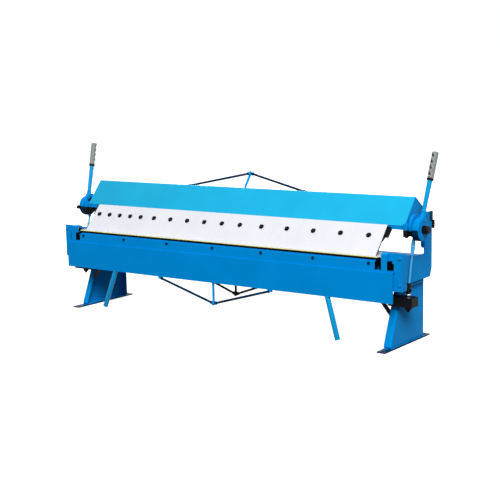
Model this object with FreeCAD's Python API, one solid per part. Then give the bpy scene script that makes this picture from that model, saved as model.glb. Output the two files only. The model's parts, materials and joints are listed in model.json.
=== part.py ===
import FreeCAD, Part
import math
import os

from FreeCAD import Vector

# Box and pan brake, in millimetres: X runs along the bend line, Y to the rear, Z up.
# Y is measured here from the front face of the apron plate. Each finished solid is then moved
# so that the origin lies on the floor in the middle of the four foot bolts.
# Pieces that come in pairs are made for the right end and mirrored to the left one.

# Bend line and the blades that meet there
bend_height = 582.0
bend_set_back = 57.5
blade_thickness = 8.0
bed_blade_gap = 0.5
apron_blade_gap = 0.2

# Fingers: narrow at the left, wide at the right
narrow_width = 101.6
medium_width = 152.4
wide_width = 203.2
narrow_count = 5
medium_count = 6
wide_count = 5
finger_gap = 0.4
finger_slope = 49.1
finger_length = 228.0
finger_thickness = 12.0
nose_lift = 0.3
nose_set_back = 0.6
finger_toe = 6.5
finger_bolt_place = 144.0

# Seat bar behind the fingers
seat_start = 128.0
seat_thickness = 26.0
seat_end_inset = 12.0
seat_rail_start = 150.0
seat_rail_thickness = 14.0
seat_rail_overhang = 23.8
seat_rail_foot = 12.0
seat_foot_depth = 48.5
seat_foot_height = 20.0

# Clamping beam
beam_overhang = 114.8
base_depth = 363.5
base_thickness = 30.0
roof_lip = 3.4
roof_rise = 165.0
ridge_set_back = 136.0
roof_sheet = 6.0
end_plate_thickness = 8.0
pivot_y = 505.0
pivot_rise = 26.0
pivot_arm_radius = 35.0
pivot_boss_radius = 30.0
pivot_boss_length = 20.0
pivot_pin_radius = 15.0
pivot_pin_reach = 2.0
beam_tilt = 5.0

# Lever shaft, its bearing and its eccentric
shaft_y = 272.0
shaft_rise = 148.0
shaft_radius = 25.0
shaft_end_gap = 1.0
shaft_stick_out = 40.0
bearing_width = 26.0
bearing_front = 82.0
bearing_rear = 60.0
bearing_drop = 42.0
bearing_rise = 38.0
disc_radius = 44.0
lever_throw = 110.0

# Strap and link
strap_side_gap = 3.0
strap_width = 20.0
strap_clearance = 4.0
strap_wall = 24.0
strap_shift_y = -2.2
strap_shift_z = 2.7
sleeve_radius = 11.0
sleeve_length = 124.0
link_rod_radius = 7.0
clevis_radius = 16.0
clevis_cheek = 9.0
clevis_throat = 22.0
clevis_bridge = 16.0
link_pin_radius = 7.0
link_pin_reach = 3.0

# Clamp lever
hub_width = 44.0
hub_side_gap = 3.0
hub_radius = 72.0
lever_back_lean = 16.0
lever_side_lean = 4.1
socket_radius = 21.0
socket_reach = 112.0
socket_depth = 34.0
tube_foot_radius = 13.5
tube_top_radius = 17.0
grip_start = 318.0
grip_end = 484.0
grip_radius = 20.0
grip_cap = 8.0
collar_length = 10.0
collar_radius = 21.5
groove_radius = 12.0
groove_pitch = 38.0
groove_first = 24.0
groove_count = 4
groove_depth = 5.0

# Bed
bed_set_back = 4.0
bed_depth = 394.0
bed_height = 172.0
bed_plate = 12.0
bed_nose_depth = 138.0
bed_nose_height = 29.0
bed_nose_overhang = 42.8

# Side plates
beam_side_gap = 6.0
side_thickness = 12.0
side_front = 98.0
side_bottom_drop = 187.0
side_front_rise = 18.0
saddle_shoulder_y = 172.0
saddle_shoulder_drop = 1.0
saddle_low_y = 340.0
saddle_low_drop = 26.0
upright_front = 453.0
upright_rear = 542.0
upright_foot_drop = 29.0
upright_top_rise = 230.0
heel_y = 518.0
heel_drop = 132.0
flange_width = 53.0
flange_thickness = 12.0
flange_bottom_drop = 197.0

# Adjusting screw at the rear of each side plate
adjuster_strip_front = 516.0
adjuster_strip_thickness = 6.0
adjuster_strip_rise = 172.0
adjuster_block_gap = 8.0
adjuster_block_width = 24.0
adjuster_block_thickness = 10.0
adjuster_block_bottom_rise = 120.0
adjuster_block_top_rise = 174.0
adjuster_radius = 6.0
adjuster_reach = 16.0
adjuster_nut_flats = 19.0
adjuster_nut_height = 8.0

# Legs and feet
leg_front = 72.0
leg_rear = 517.0
leg_lean = 22.3
leg_sheet = 6.0
leg_width = 50.0
leg_inset = 28.0
foot_thickness = 8.0
foot_front = -10.0
foot_length = 590.0
foot_width = 61.0
foot_lip = 11.0
anchor_hole_radius = 9.0
anchor_hole_inset = 28.0

# Diagonal brace of each leg: a flat bar
brace_foot_z = 200.0
brace_run = 142.0
brace_width = 40.0
brace_thickness = 8.0

# Hinge block, ear, bush and pin at each end of the bend line
block_front = 35.0
block_bottom_drop = 202.0
block_step_drop = 87.0
block_top_rise = 31.0
block_top_fall = 17.0
block_overhang = 59.0
block_slab_inset = 13.0
block_pocket_width = 32.0
block_pocket_depth = 25.0
pocket_bottom_drop = 82.0
pocket_top_drop = 33.0
cheek_inset = 15.0
cheek_bed_gap = 1.0
ear_width = 40.0
ear_side_gap = 2.0
ear_radius = 30.0
ear_foot_depth = 7.0
ear_chamfer = 8.0
bush_radius = 18.0
hinge_pin_radius = 14.0
hinge_pin_inner_reach = 4.0
hinge_pin_outer_reach = 53.0
running_clearance = 0.05

# Apron
apron_thickness = 16.0
apron_bottom_drop = 274.0
apron_height = 187.0
notch_rise = 10.0
notch_width = 40.0
band_set_back = 10.0
band_thickness = 24.0
band_height = 62.0
apron_blade_overhang = 30.8
apron_blade_depth = 30.3
apron_nose_depth = 27.3
apron_nose_foot = 26.0
stiffener_depth = 40.0
stiffener_wall = 8.0
stiffener_lip = 32.0
stiffener_half_length = 1240.0
handle_radius = 16.85
handle_wall = 3.2
handle_top = (903.0, 14.0)
handle_top_drop = 285.0
handle_foot = (989.0, -11.0)
handle_foot_drop = 538.0

# Anchor bar, eye bolt and nuts of each link
anchor_front = 130.0
anchor_rear = 212.0
anchor_drop = 315.0
anchor_height = 59.0
anchor_overhang = 55.0
eye_y = 190.0
eye_radius = 20.0
eye_width = 20.0
eye_bolt_radius = 10.0
eye_nut_gap = 1.0
eye_bolt_stick_out = 12.0
washer_radius = 20.0
washer_thickness = 3.0
top_nut_flats = 26.0
top_nut_height = 12.0
foot_nut_flats = 36.0
foot_nut_height = 24.0

# Tie rods: three flat triangles, each with its strut
tie_radius = 7.0
strut_radius = 8.0
tie_boss_radius = 15.0
tie_boss_width = 26.0
tie_lug_radius = 16.0
tie_lug_height = 16.0
apron_tie_y = 9.5
apron_tie_depth = 142.0
apron_tie_half_span = 472.0
bed_tie_y = 259.0
bed_tie_depth = 186.0
bed_tie_half_span = 506.0
beam_tie_set_back = 167.0
beam_tie_height = 134.0
beam_tie_half_span = 506.0

# Bolts
bolt_radius = 8.0
bolt_flats = 24.0
bolt_head = 10.0
bolt_grip = 18.0
bolt_hole_clearance = 0.5
small_bolt_radius = 6.0
small_bolt_flats = 18.0
small_bolt_head = 7.5
apron_bolt_pitch = 400.0
apron_bolt_count = 7
apron_bolt_drop = 11.0
apron_bolt_grip = 34.0
block_bolt_edge = 14.0
block_bolt_top_inset = 30.0
block_bolt_bottom_inset = 40.0
slab_bolt_inset = 27.0
slab_bolt_grip = 32.0

# Places along X, from the middle outwards
row_length = narrow_count * narrow_width + medium_count * medium_width + wide_count * wide_width
row_half = row_length / 2
seat_half = row_half - seat_end_inset
seat_rail_half = row_half + seat_rail_overhang
bed_nose_half = row_half + bed_nose_overhang
apron_blade_half = row_half + apron_blade_overhang
beam_half = row_half + beam_overhang
side_inner = beam_half + beam_side_gap
side_outer = side_inner + side_thickness
cheek_inner = side_inner - cheek_inset
block_outer = side_outer + block_overhang
ear_outer = cheek_inner - ear_side_gap
ear_inner = ear_outer - ear_width
slab_inner = ear_inner - block_slab_inset
apron_half = ear_outer + notch_width
leg_outer = side_inner - leg_inset
leg_inner = leg_outer - leg_width
foot_outer = leg_outer + foot_lip
foot_inner = foot_outer - foot_width
bearing_outer = beam_half + bearing_width
strap_inner = bearing_outer + strap_side_gap
strap_outer = strap_inner + strap_width
link_x = (strap_inner + strap_outer) / 2
hub_inner = strap_outer + hub_side_gap
hub_outer = hub_inner + hub_width
hub_x = (hub_inner + hub_outer) / 2

# Heights above and below the bend line
pivot_z = bend_height + pivot_rise
shaft_z = bend_height + shaft_rise
side_bottom = bend_height - side_bottom_drop
side_front_height = bend_height + side_front_rise
saddle_shoulder_z = bend_height - saddle_shoulder_drop
saddle_low_z = bend_height - saddle_low_drop
upright_foot_z = bend_height - upright_foot_drop
upright_top = bend_height + upright_top_rise
heel_z = bend_height - heel_drop
flange_bottom = bend_height - flange_bottom_drop
adjuster_strip_bottom = bend_height + adjuster_strip_rise
adjuster_block_bottom = bend_height + adjuster_block_bottom_rise
adjuster_block_top = bend_height + adjuster_block_top_rise
block_bottom = bend_height - block_bottom_drop
block_step = bend_height - block_step_drop
block_top = bend_height + block_top_rise
block_pocket_bottom = bend_height - pocket_bottom_drop
block_pocket_top = bend_height - pocket_top_drop
apron_bottom = bend_height - apron_bottom_drop
anchor_bottom = bend_height - anchor_drop

# Heights and depths
blade_bottom = bend_height - blade_thickness
bed_blade_front = bend_set_back + bed_blade_gap
bed_front = bed_blade_front + bed_set_back
bed_rear = bed_front + bed_depth
bed_top = blade_bottom - bed_nose_height
bed_bottom = bed_top - bed_height
leg_height = bed_bottom
bed_nose_rear = bed_front + bed_nose_depth
apron_blade_rear = bend_set_back - apron_blade_gap
anchor_top = anchor_bottom + anchor_height
eye_z = anchor_top + washer_thickness + top_nut_height + eye_nut_gap + eye_radius
eye_bolt_tip = anchor_bottom - washer_thickness - foot_nut_height - eye_bolt_stick_out
foot_middle = foot_front + foot_length / 2
band_bottom = apron_bottom + apron_height
band_top = band_bottom + band_height
band_rear = band_set_back + band_thickness
notch_bottom = band_bottom + notch_rise

# Finger section in the plane of Y and Z: nose, top and the two directions of the sloping plate
slope = math.radians(finger_slope)
up_y = math.cos(slope)
up_z = math.sin(slope)
nose_y = bend_set_back + nose_set_back
nose_z = bend_height + nose_lift
finger_top_y = nose_y + finger_length * up_y
finger_top_z = nose_z + finger_length * up_z
base_front = finger_top_y + finger_toe
base_rear = base_front + base_depth
base_top = finger_top_z + roof_lip
base_bottom = base_top - base_thickness
back_y = nose_y + finger_thickness / up_z
toe_z = nose_z + (base_front - back_y) * up_z / up_y

# Ridge of the roof and the slopes on its two sides
ridge_y = base_front + ridge_set_back
ridge_z = base_top + roof_rise
front_run = ridge_set_back
rear_run = base_rear - ridge_y
front_angle = math.atan2(roof_rise, front_run)
rear_angle = math.atan2(roof_rise, rear_run)

# Eccentric: its offset lets the link keep its length while the beam tilts and the lever swings
eye = Vector(0, eye_y, eye_z)
shaft = Vector(0, shaft_y, shaft_z)
pivot = Vector(0, pivot_y, pivot_z)
along_x = Vector(1, 0, 0)
closed_arm = shaft - eye
closed_direction = Vector(closed_arm).normalize()
tilt_turn = FreeCAD.Rotation(along_x, -beam_tilt)
throw_turn = FreeCAD.Rotation(along_x, lever_throw - beam_tilt)
open_arm = pivot + tilt_turn.multVec(shaft - pivot) - eye
open_direction = throw_turn.multVec(closed_direction)
reach_change = open_arm.dot(open_arm) - closed_arm.dot(closed_arm)
leverage = closed_arm.dot(closed_direction) - open_arm.dot(open_direction)
eccentric_offset = reach_change / (2 * leverage)
disc_centre = shaft + closed_direction * eccentric_offset
strap_centre = disc_centre + Vector(0, strap_shift_y, strap_shift_z)
link_direction = (strap_centre - eye).normalize()
strap_radius = disc_radius + strap_clearance

# Lever direction, from the shaft up to the grip
lever_direction = Vector(
    math.tan(math.radians(lever_side_lean)),
    math.tan(math.radians(lever_back_lean)),
    1,
).normalize()
lever_root = Vector(hub_x, shaft_y, shaft_z)


def block(x0, x1, y0, y1, z0, z1):
    """Box between two corners."""
    return Part.makeBox(x1 - x0, y1 - y0, z1 - z0, Vector(x0, y0, z0))


def prism(outline, x0, x1):
    """Outline of (y, z) points, drawn out along X."""
    corners = [Vector(x0, y, z) for y, z in outline]
    face = Part.Face(Part.makePolygon(corners + corners[:1]))
    return face.extrude(Vector(x1 - x0, 0, 0))


def bar(start, end, radius):
    """Round bar between two points."""
    return Part.makeCylinder(radius, (end - start).Length, start, end - start)


def drum(x0, x1, y, z, radius):
    """Round bar that lies along X."""
    return bar(Vector(x0, y, z), Vector(x1, y, z), radius)


def hexagon(point, direction, flats, height):
    """Hexagonal bar that stands on a point and grows in a direction."""
    sides = 6
    corner = flats / 2 / math.cos(math.pi / sides)
    turns = [2 * math.pi * side / sides for side in range(sides)]
    corners = [Vector(corner * math.cos(turn), corner * math.sin(turn), 0) for turn in turns]
    solid = Part.Face(Part.makePolygon(corners + corners[:1])).extrude(Vector(0, 0, height))
    solid.Placement = FreeCAD.Placement(point, FreeCAD.Rotation(Vector(0, 0, 1), direction))
    return solid


def bolt(seat, outward, grip, radius, flats, head):
    """Hexagon bolt: its head stands outward on the seat, its shank goes the other way."""
    shank = bar(seat - outward * grip, seat, radius)
    return hexagon(seat, outward, flats, head).fuse(shank).removeSplitter()


def bolt_hole(seat, outward, grip, radius):
    """Space for a bolt's shank, with clearance round it and at its end."""
    end = seat - outward * (grip + bolt_hole_clearance)
    return bar(end, seat + outward * bolt_hole_clearance, radius + bolt_hole_clearance)


def mirrored(solid):
    """The same piece at the left end."""
    return solid.mirror(Vector(0, 0, 0), along_x)


def save(node, solids):
    """Write one node, moved to the middle of the foot bolts."""
    shape = solids[0] if len(solids) == 1 else Part.makeCompound(solids)
    shape = shape.copy()
    shape.translate(Vector(0, -foot_middle, 0))
    shape.exportStep("parts/" + node + ".step")


def save_pair(node, solid):
    """Write a right piece and its mirror image as two nodes."""
    save(node + "_right", [solid])
    save(node + "_left", [mirrored(solid)])


def save_both(node, solids):
    """Write right pieces and their mirror images as one node."""
    save(node, solids + [mirrored(solid) for solid in solids])


def on_finger(along, inward):
    """Point of the finger's section: so far up the slope, so far in from the front face."""
    return (nose_y + along * up_y + inward * up_z, nose_z + along * up_z - inward * up_y)


def finger_places():
    """Left edge and nominal width of each finger, with the group that it belongs to."""
    places = []
    edge = -row_half
    groups = (
        ("fingers_narrow", narrow_width, narrow_count),
        ("fingers_medium", medium_width, medium_count),
        ("fingers_wide", wide_width, wide_count),
    )
    for group, width, count in groups:
        for _ in range(count):
            places.append((group, edge, width))
            edge += width
    return places


def finger_bolt_seat(x):
    """Seat of a finger's bolt on the front face."""
    y, z = on_finger(finger_bolt_place, 0)
    return Vector(x, y, z)


def make_fingers():
    """Sixteen bevelled plates, each with its bolt hole, and their bolts."""
    outward = Vector(0, -up_z, up_y)
    grip = finger_thickness + bolt_grip
    outline = [
        (nose_y, nose_z),
        (finger_top_y, finger_top_z),
        (base_front, finger_top_z),
        (base_front, toe_z),
        (back_y, nose_z),
    ]
    groups = {}
    bolts = []
    holes = []
    for group, edge, width in finger_places():
        seat = finger_bolt_seat(edge + width / 2)
        hole = bolt_hole(seat, outward, grip, bolt_radius)
        finger = prism(outline, edge + finger_gap / 2, edge + width - finger_gap / 2)
        groups.setdefault(group, []).append(finger.cut(hole))
        bolts.append(bolt(seat, outward, grip, bolt_radius, bolt_flats, bolt_head))
        holes.append(hole)
    for group, fingers in groups.items():
        save(group, fingers)
    save("finger_bolts", bolts)
    make_seat_bar(holes)


def make_seat_bar(holes):
    """Bar that the fingers are bolted to, under the front edge of the base plate."""
    foot_rear = base_front + seat_foot_depth
    outline = [
        on_finger(seat_start, finger_thickness),
        (base_front, toe_z),
        (base_front, base_bottom),
        (foot_rear, base_bottom),
        (foot_rear, base_bottom - seat_foot_height),
        on_finger(seat_start, finger_thickness + seat_thickness),
    ]
    rail = [
        on_finger(seat_rail_start, finger_thickness),
        (base_front, toe_z),
        (base_front, base_bottom),
        (base_front + seat_rail_foot, base_bottom),
        on_finger(seat_rail_start, finger_thickness + seat_rail_thickness),
    ]
    seat_bar = prism(outline, -seat_half, seat_half).fuse(prism(rail, -seat_rail_half, seat_rail_half))
    save("finger_seat_bar", [seat_bar.cut(Part.makeCompound(holes)).removeSplitter()])


def roof_outline(inset):
    """Triangle of the roof over the base plate, drawn in by a wall thickness at both slopes."""
    front = base_front + inset / math.sin(front_angle)
    rear = base_rear - inset / math.sin(rear_angle)
    share = (rear - front) / base_depth
    return [
        (front, base_top),
        (front + front_run * share, base_top + roof_rise * share),
        (rear, base_top),
    ]


def make_beam():
    """Folded roof sheet, base plate and closed ends with the arms down to the rear pivots."""
    roof = prism(roof_outline(0), -beam_half, beam_half)
    save("beam_roof", [roof.cut(prism(roof_outline(roof_sheet), -beam_half, beam_half))])

    end_inner = beam_half - end_plate_thickness
    base = block(-end_inner, end_inner, base_front, base_rear, base_bottom, base_top)
    save("beam_base_plate", [base])

    gable = prism(roof_outline(roof_sheet), end_inner, beam_half)
    sill = block(end_inner, beam_half, base_front, base_rear, base_bottom, base_top)
    arm_front = pivot_y - pivot_arm_radius
    arm_rear = pivot_y + pivot_arm_radius
    arm = block(end_inner, beam_half, arm_front, arm_rear, pivot_z, base_bottom)
    arm_end = drum(end_inner, beam_half, pivot_y, pivot_z, pivot_arm_radius)
    boss_inner = end_inner - pivot_boss_length
    boss = drum(boss_inner, end_inner, pivot_y, pivot_z, pivot_boss_radius)
    bore_radius = pivot_pin_radius + running_clearance
    bore = drum(boss_inner, beam_half, pivot_y, pivot_z, bore_radius)
    end_plate = gable.multiFuse([sill, arm, arm_end, boss]).cut(bore).removeSplitter()
    save_pair("beam_end_plate", end_plate)

    pin = drum(boss_inner - pivot_pin_reach, side_outer, pivot_y, pivot_z, pivot_pin_radius)
    save_both("beam_pivot_pins", [pin])


def make_bearings():
    """Plain bearing of each lever shaft, on the outside of the beam's end."""
    housing = block(
        beam_half,
        bearing_outer,
        shaft_y - bearing_front,
        shaft_y + bearing_rear,
        shaft_z - bearing_drop,
        shaft_z + bearing_rise,
    )
    bore = drum(beam_half, bearing_outer, shaft_y, shaft_z, shaft_radius + running_clearance)
    save_pair("shaft_bearing", housing.cut(bore))


def make_levers():
    """Eccentric shaft, hub, tube and grip of each clamp lever."""
    shaft_end = hub_outer + shaft_stick_out
    shaft_bar = drum(beam_half + shaft_end_gap, shaft_end, shaft_y, shaft_z, shaft_radius)
    disc = drum(strap_inner, strap_outer, disc_centre.y, disc_centre.z, disc_radius)
    save_pair("eccentric_shaft", shaft_bar.fuse(disc).removeSplitter())

    hub = drum(hub_inner, hub_outer, shaft_y, shaft_z, hub_radius)
    socket_end = lever_root + lever_direction * socket_reach
    tube_start = socket_end - lever_direction * socket_depth
    socket = bar(lever_root, socket_end, socket_radius)
    tube_end = lever_root + lever_direction * (grip_end - grip_cap)
    tube_length = (tube_end - tube_start).Length
    tube = Part.makeCone(tube_foot_radius, tube_top_radius, tube_length, tube_start, lever_direction)
    shaft_bore = drum(strap_inner, shaft_end, shaft_y, shaft_z, shaft_radius)
    hub = hub.fuse(socket).cut(shaft_bore).cut(tube).removeSplitter()
    save_pair("lever_hub", hub)
    save_pair("lever_tube", tube)

    grip_foot = lever_root + lever_direction * grip_start
    collar_foot = grip_foot - lever_direction * collar_length
    grip = bar(grip_foot, lever_root + lever_direction * grip_end, grip_radius)
    collar = bar(collar_foot, grip_foot, collar_radius)
    grip = grip.fuse(collar).cut(tube).cut(Part.makeCompound(make_grooves()))
    save_pair("lever_grip", grip.removeSplitter())


def make_grooves():
    """Finger grooves across the front of the grip."""
    forward = Vector(0, -lever_direction.z, lever_direction.y).normalize()
    across = forward.cross(lever_direction).normalize()
    out = grip_radius + groove_radius - groove_depth
    grooves = []
    for step in range(groove_count):
        along = grip_start + groove_first + step * groove_pitch
        middle = lever_root + lever_direction * along + forward * out
        half = across * grip_radius
        grooves.append(bar(middle - half, middle + half, groove_radius))
    return grooves


def make_links():
    """Strap round the eccentric with its sleeve, and the rod with the clevis at its foot."""
    strap_y = strap_centre.y
    strap_z = strap_centre.z
    middle = Vector(link_x, 0, 0)
    top = strap_centre + middle
    sleeve_foot = top - link_direction * (strap_radius + sleeve_length)
    sleeve_top = top - link_direction * (strap_radius + strap_wall / 2)
    rod_foot = eye + middle + link_direction * clevis_throat

    strap_bore = drum(strap_inner, strap_outer, strap_y, strap_z, strap_radius)
    ring = drum(strap_inner, strap_outer, strap_y, strap_z, strap_radius + strap_wall)
    sleeve = bar(sleeve_foot, sleeve_top, sleeve_radius)
    strap = ring.fuse(sleeve).cut(strap_bore).removeSplitter()
    save_pair("link_strap", strap)

    inner_half = eye_width / 2 + running_clearance
    outer_half = inner_half + clevis_cheek
    fork = drum(link_x - outer_half, link_x + outer_half, eye_y, eye_z, clevis_radius)
    stem = Part.makeBox(
        2 * outer_half,
        2 * clevis_radius,
        clevis_throat + clevis_bridge,
        Vector(-outer_half, -clevis_radius, 0),
    )
    stem.Placement = FreeCAD.Placement(
        eye + middle,
        FreeCAD.Rotation(Vector(0, 0, 1), link_direction),
    )
    throat = drum(link_x - inner_half, link_x + inner_half, eye_y, eye_z, clevis_throat)
    pin_bore_radius = link_pin_radius + running_clearance
    pin_bore = drum(link_x - outer_half, link_x + outer_half, eye_y, eye_z, pin_bore_radius)
    rod = bar(rod_foot, sleeve_foot, link_rod_radius)
    clevis = fork.fuse(stem).cut(throat).cut(pin_bore)
    save_pair("link_rod", clevis.fuse(rod).removeSplitter())


def make_bed():
    """Bed box of four plates between the side plates, its nose bar and its ground blade."""
    half = side_inner
    rear_face = bed_rear - bed_plate
    low = bed_bottom + bed_plate
    high = bed_top - bed_plate
    front = block(-half, half, bed_front, bed_front + bed_plate, low, high)
    hole = bolt_hole(slab_bolt_seat(), Vector(0, -1, 0), slab_bolt_grip, small_bolt_radius)
    save("bed_front_plate", [front.cut(hole).cut(mirrored(hole))])
    save("bed_rear_plate", [block(-half, half, rear_face, bed_rear, low, high)])
    save("bed_bottom_plate", [block(-half, half, bed_front, bed_rear, bed_bottom, low)])
    save("bed_top_plate", [block(-half, half, bed_front, bed_rear, high, bed_top)])
    nose = block(-bed_nose_half, bed_nose_half, bed_front, bed_nose_rear, bed_top, blade_bottom)
    save("bed_nose_bar", [nose])
    blade = block(
        -bed_nose_half,
        bed_nose_half,
        bed_blade_front,
        bed_nose_rear,
        blade_bottom,
        bend_height,
    )
    save("bed_blade", [blade])


def slab_bolt_seat():
    """Seat of the bolt that holds the inner part of the hinge block to the bed."""
    return Vector(slab_inner + slab_bolt_inset, block_front, block_bottom + block_bolt_bottom_inset)


def side_bolt_seats():
    """Seats of the two bolts on the outer part of the hinge block."""
    x = block_outer - block_bolt_edge
    heights = (block_top - block_bolt_top_inset, block_bottom + block_bolt_bottom_inset)
    return [Vector(x, block_front, z) for z in heights]


def make_side_plates():
    """Side plate with its saddle, its rear upright and its front flange."""
    outline = [
        (side_front, side_bottom),
        (side_front, side_front_height),
        (saddle_shoulder_y, saddle_shoulder_z),
        (saddle_low_y, saddle_low_z),
        (upright_front, upright_foot_z),
        (upright_front, upright_top),
        (upright_rear, upright_top),
        (upright_rear, heel_z),
        (heel_y, side_bottom),
    ]
    plate = prism(outline, side_inner, side_outer)
    flange = block(
        side_outer,
        side_outer + flange_width,
        side_front,
        side_front + flange_thickness,
        flange_bottom,
        side_front_height,
    )
    pin_bore = drum(side_inner, side_outer, pivot_y, pivot_z, pivot_pin_radius)
    grip = side_front - block_front + flange_thickness
    holes = [bolt_hole(seat, Vector(0, -1, 0), grip, small_bolt_radius) for seat in side_bolt_seats()]
    plate = plate.fuse(flange).cut(Part.makeCompound(holes + [pin_bore]))
    save_pair("side_plate", plate.removeSplitter())


def make_hinge_blocks():
    """Block at each end of the bed that carries the apron's hinge pin, and its bolts."""
    front = Vector(0, -1, 0)
    rear_top = block_top - block_top_fall
    outline = [
        (block_front, block_bottom),
        (side_front, block_bottom),
        (side_front, rear_top),
        (block_front, block_top),
    ]
    body = prism(outline, cheek_inner, block_outer)
    bed_space = block(cheek_inner, side_inner, bed_front, side_front, block_bottom, bed_top + cheek_bed_gap)
    pocket = block(
        cheek_inner,
        cheek_inner + block_pocket_width,
        block_front,
        block_front + block_pocket_depth,
        block_pocket_bottom,
        block_pocket_top,
    )
    slab = block(slab_inner, cheek_inner, block_front, bed_front, block_bottom, block_step)
    pin_inner = ear_inner - hinge_pin_inner_reach
    pin_outer = cheek_inner + hinge_pin_outer_reach
    pin = drum(pin_inner, pin_outer, bend_set_back, bend_height, hinge_pin_radius)

    slab_seat = slab_bolt_seat()
    side_grip = side_front - block_front + flange_thickness
    radius = small_bolt_radius
    cuts = [bolt_hole(seat, front, side_grip, radius) for seat in side_bolt_seats()]
    cuts += [bolt_hole(slab_seat, front, slab_bolt_grip, radius), pin, pocket]
    hinge_block = body.cut(bed_space).fuse(slab).cut(Part.makeCompound(cuts))
    save_pair("hinge_block", hinge_block.removeSplitter())
    save_both("hinge_pins", [pin])

    flats = small_bolt_flats
    head = small_bolt_head
    bolts = [bolt(seat, front, side_grip, radius, flats, head) for seat in side_bolt_seats()]
    bolts.append(bolt(slab_seat, front, slab_bolt_grip, radius, flats, head))
    save_both("hinge_block_bolts", bolts)


def make_adjusters():
    """Dark strip and block at the rear edge of each upright, with the adjusting screw and its nut."""
    rearward = Vector(0, 1, 0)
    strip = block(
        side_outer,
        side_outer + adjuster_strip_thickness,
        adjuster_strip_front,
        upright_rear,
        adjuster_strip_bottom,
        upright_top,
    )
    block_inner = beam_half + adjuster_block_gap
    block_outer_face = block_inner + adjuster_block_width
    seat_y = upright_rear + adjuster_block_thickness
    body = block(
        block_inner,
        block_outer_face,
        upright_rear,
        seat_y,
        adjuster_block_bottom,
        adjuster_block_top,
    )
    x = (block_inner + block_outer_face) / 2
    z = (adjuster_block_bottom + adjuster_block_top) / 2
    seat = Vector(x, seat_y, z)
    nut = hexagon(seat, rearward, adjuster_nut_flats, adjuster_nut_height)
    screw = bar(Vector(x, upright_rear, z), seat + rearward * adjuster_reach, adjuster_radius)
    save_both("adjusting_screws", [strip.multiFuse([body, nut, screw]).removeSplitter()])


def leg_outline(inset):
    """Leg seen from the side, drawn in by the sheet at its front and its rear."""
    step = inset / math.cos(math.radians(leg_lean))
    rise = math.tan(math.radians(leg_lean)) * (leg_height - inset - foot_thickness)
    return [
        (leg_front + step, foot_thickness),
        (leg_rear - inset, foot_thickness),
        (leg_rear - inset, leg_height - inset),
        (leg_front + step + rise, leg_height - inset),
    ]


def make_legs():
    """Folded legs with their tops closed, foot plates and diagonal braces."""
    body = prism(leg_outline(0), leg_inner, leg_outer)
    hollow = prism(leg_outline(leg_sheet), leg_inner, leg_outer - leg_sheet)
    save_pair("leg", body.cut(hollow))

    foot = block(foot_inner, foot_outer, foot_front, foot_front + foot_length, 0, foot_thickness)
    foot_x = (foot_inner + foot_outer) / 2
    holes = []
    for y in (foot_front + anchor_hole_inset, foot_front + foot_length - anchor_hole_inset):
        holes.append(bar(Vector(foot_x, y, 0), Vector(foot_x, y, foot_thickness), anchor_hole_radius))
    save_pair("foot_plate", foot.cut(Part.makeCompound(holes)))
    make_braces()
    make_anchors(body)


def make_braces():
    """Flat bar from the inner edge of each leg up to the underside of the bed."""
    front = leg_front + math.tan(math.radians(leg_lean)) * (brace_foot_z - foot_thickness)
    rise = leg_height - brace_foot_z
    side_step = brace_thickness * math.hypot(brace_run, rise) / rise
    outline = [
        Vector(leg_inner, front, brace_foot_z),
        Vector(leg_inner, front, brace_foot_z + side_step * rise / brace_run),
        Vector(leg_inner - brace_run + side_step, front, leg_height),
        Vector(leg_inner - brace_run, front, leg_height),
    ]
    face = Part.Face(Part.makePolygon(outline + outline[:1]))
    save_both("leg_braces", [face.extrude(Vector(0, brace_width, 0))])


def make_anchors(leg_body):
    """Anchor bar on each leg with the link's eye bolt, its nuts, washers and pin."""
    up = Vector(0, 0, 1)
    outer = link_x + anchor_overhang
    bar_body = block(leg_inner, outer, anchor_front, anchor_rear, anchor_bottom, anchor_top)
    foot = Vector(link_x, eye_y, eye_bolt_tip)
    eye_point = Vector(link_x, eye_y, eye_z)
    shank = bar(foot, eye_point, eye_bolt_radius)
    shank_hole = bar(
        Vector(link_x, eye_y, anchor_bottom),
        Vector(link_x, eye_y, anchor_top),
        eye_bolt_radius + bolt_hole_clearance,
    )
    save_pair("link_anchor", bar_body.cut(leg_body).cut(shank_hole))

    half = eye_width / 2
    lug = drum(link_x - half, link_x + half, eye_y, eye_z, eye_radius)
    pin_half = half + running_clearance + clevis_cheek + link_pin_reach
    pin = drum(link_x - pin_half, link_x + pin_half, eye_y, eye_z, link_pin_radius)
    save_both("link_eye_bolts", [shank.fuse(lug).cut(pin).removeSplitter()])

    fasteners = [pin]
    low_seat = Vector(link_x, eye_y, anchor_bottom)
    high_seat = Vector(link_x, eye_y, anchor_top)
    sides = (
        (low_seat, -up, foot_nut_flats, foot_nut_height),
        (high_seat, up, top_nut_flats, top_nut_height),
    )
    for seat, way, flats, height in sides:
        washer_end = seat + way * washer_thickness
        washer = bar(seat, washer_end, washer_radius)
        nut = hexagon(washer_end, way, flats, height)
        fasteners += [washer.cut(shank), nut.cut(shank)]
    save_both("link_fasteners", fasteners)


def end_notches():
    """Notches at both ends of the apron's edge band, with the ears standing in them."""
    notch = block(
        ear_inner - notch_width,
        apron_half,
        band_set_back,
        band_rear,
        notch_bottom,
        band_top,
    )
    return Part.makeCompound([notch, mirrored(notch)])


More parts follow.
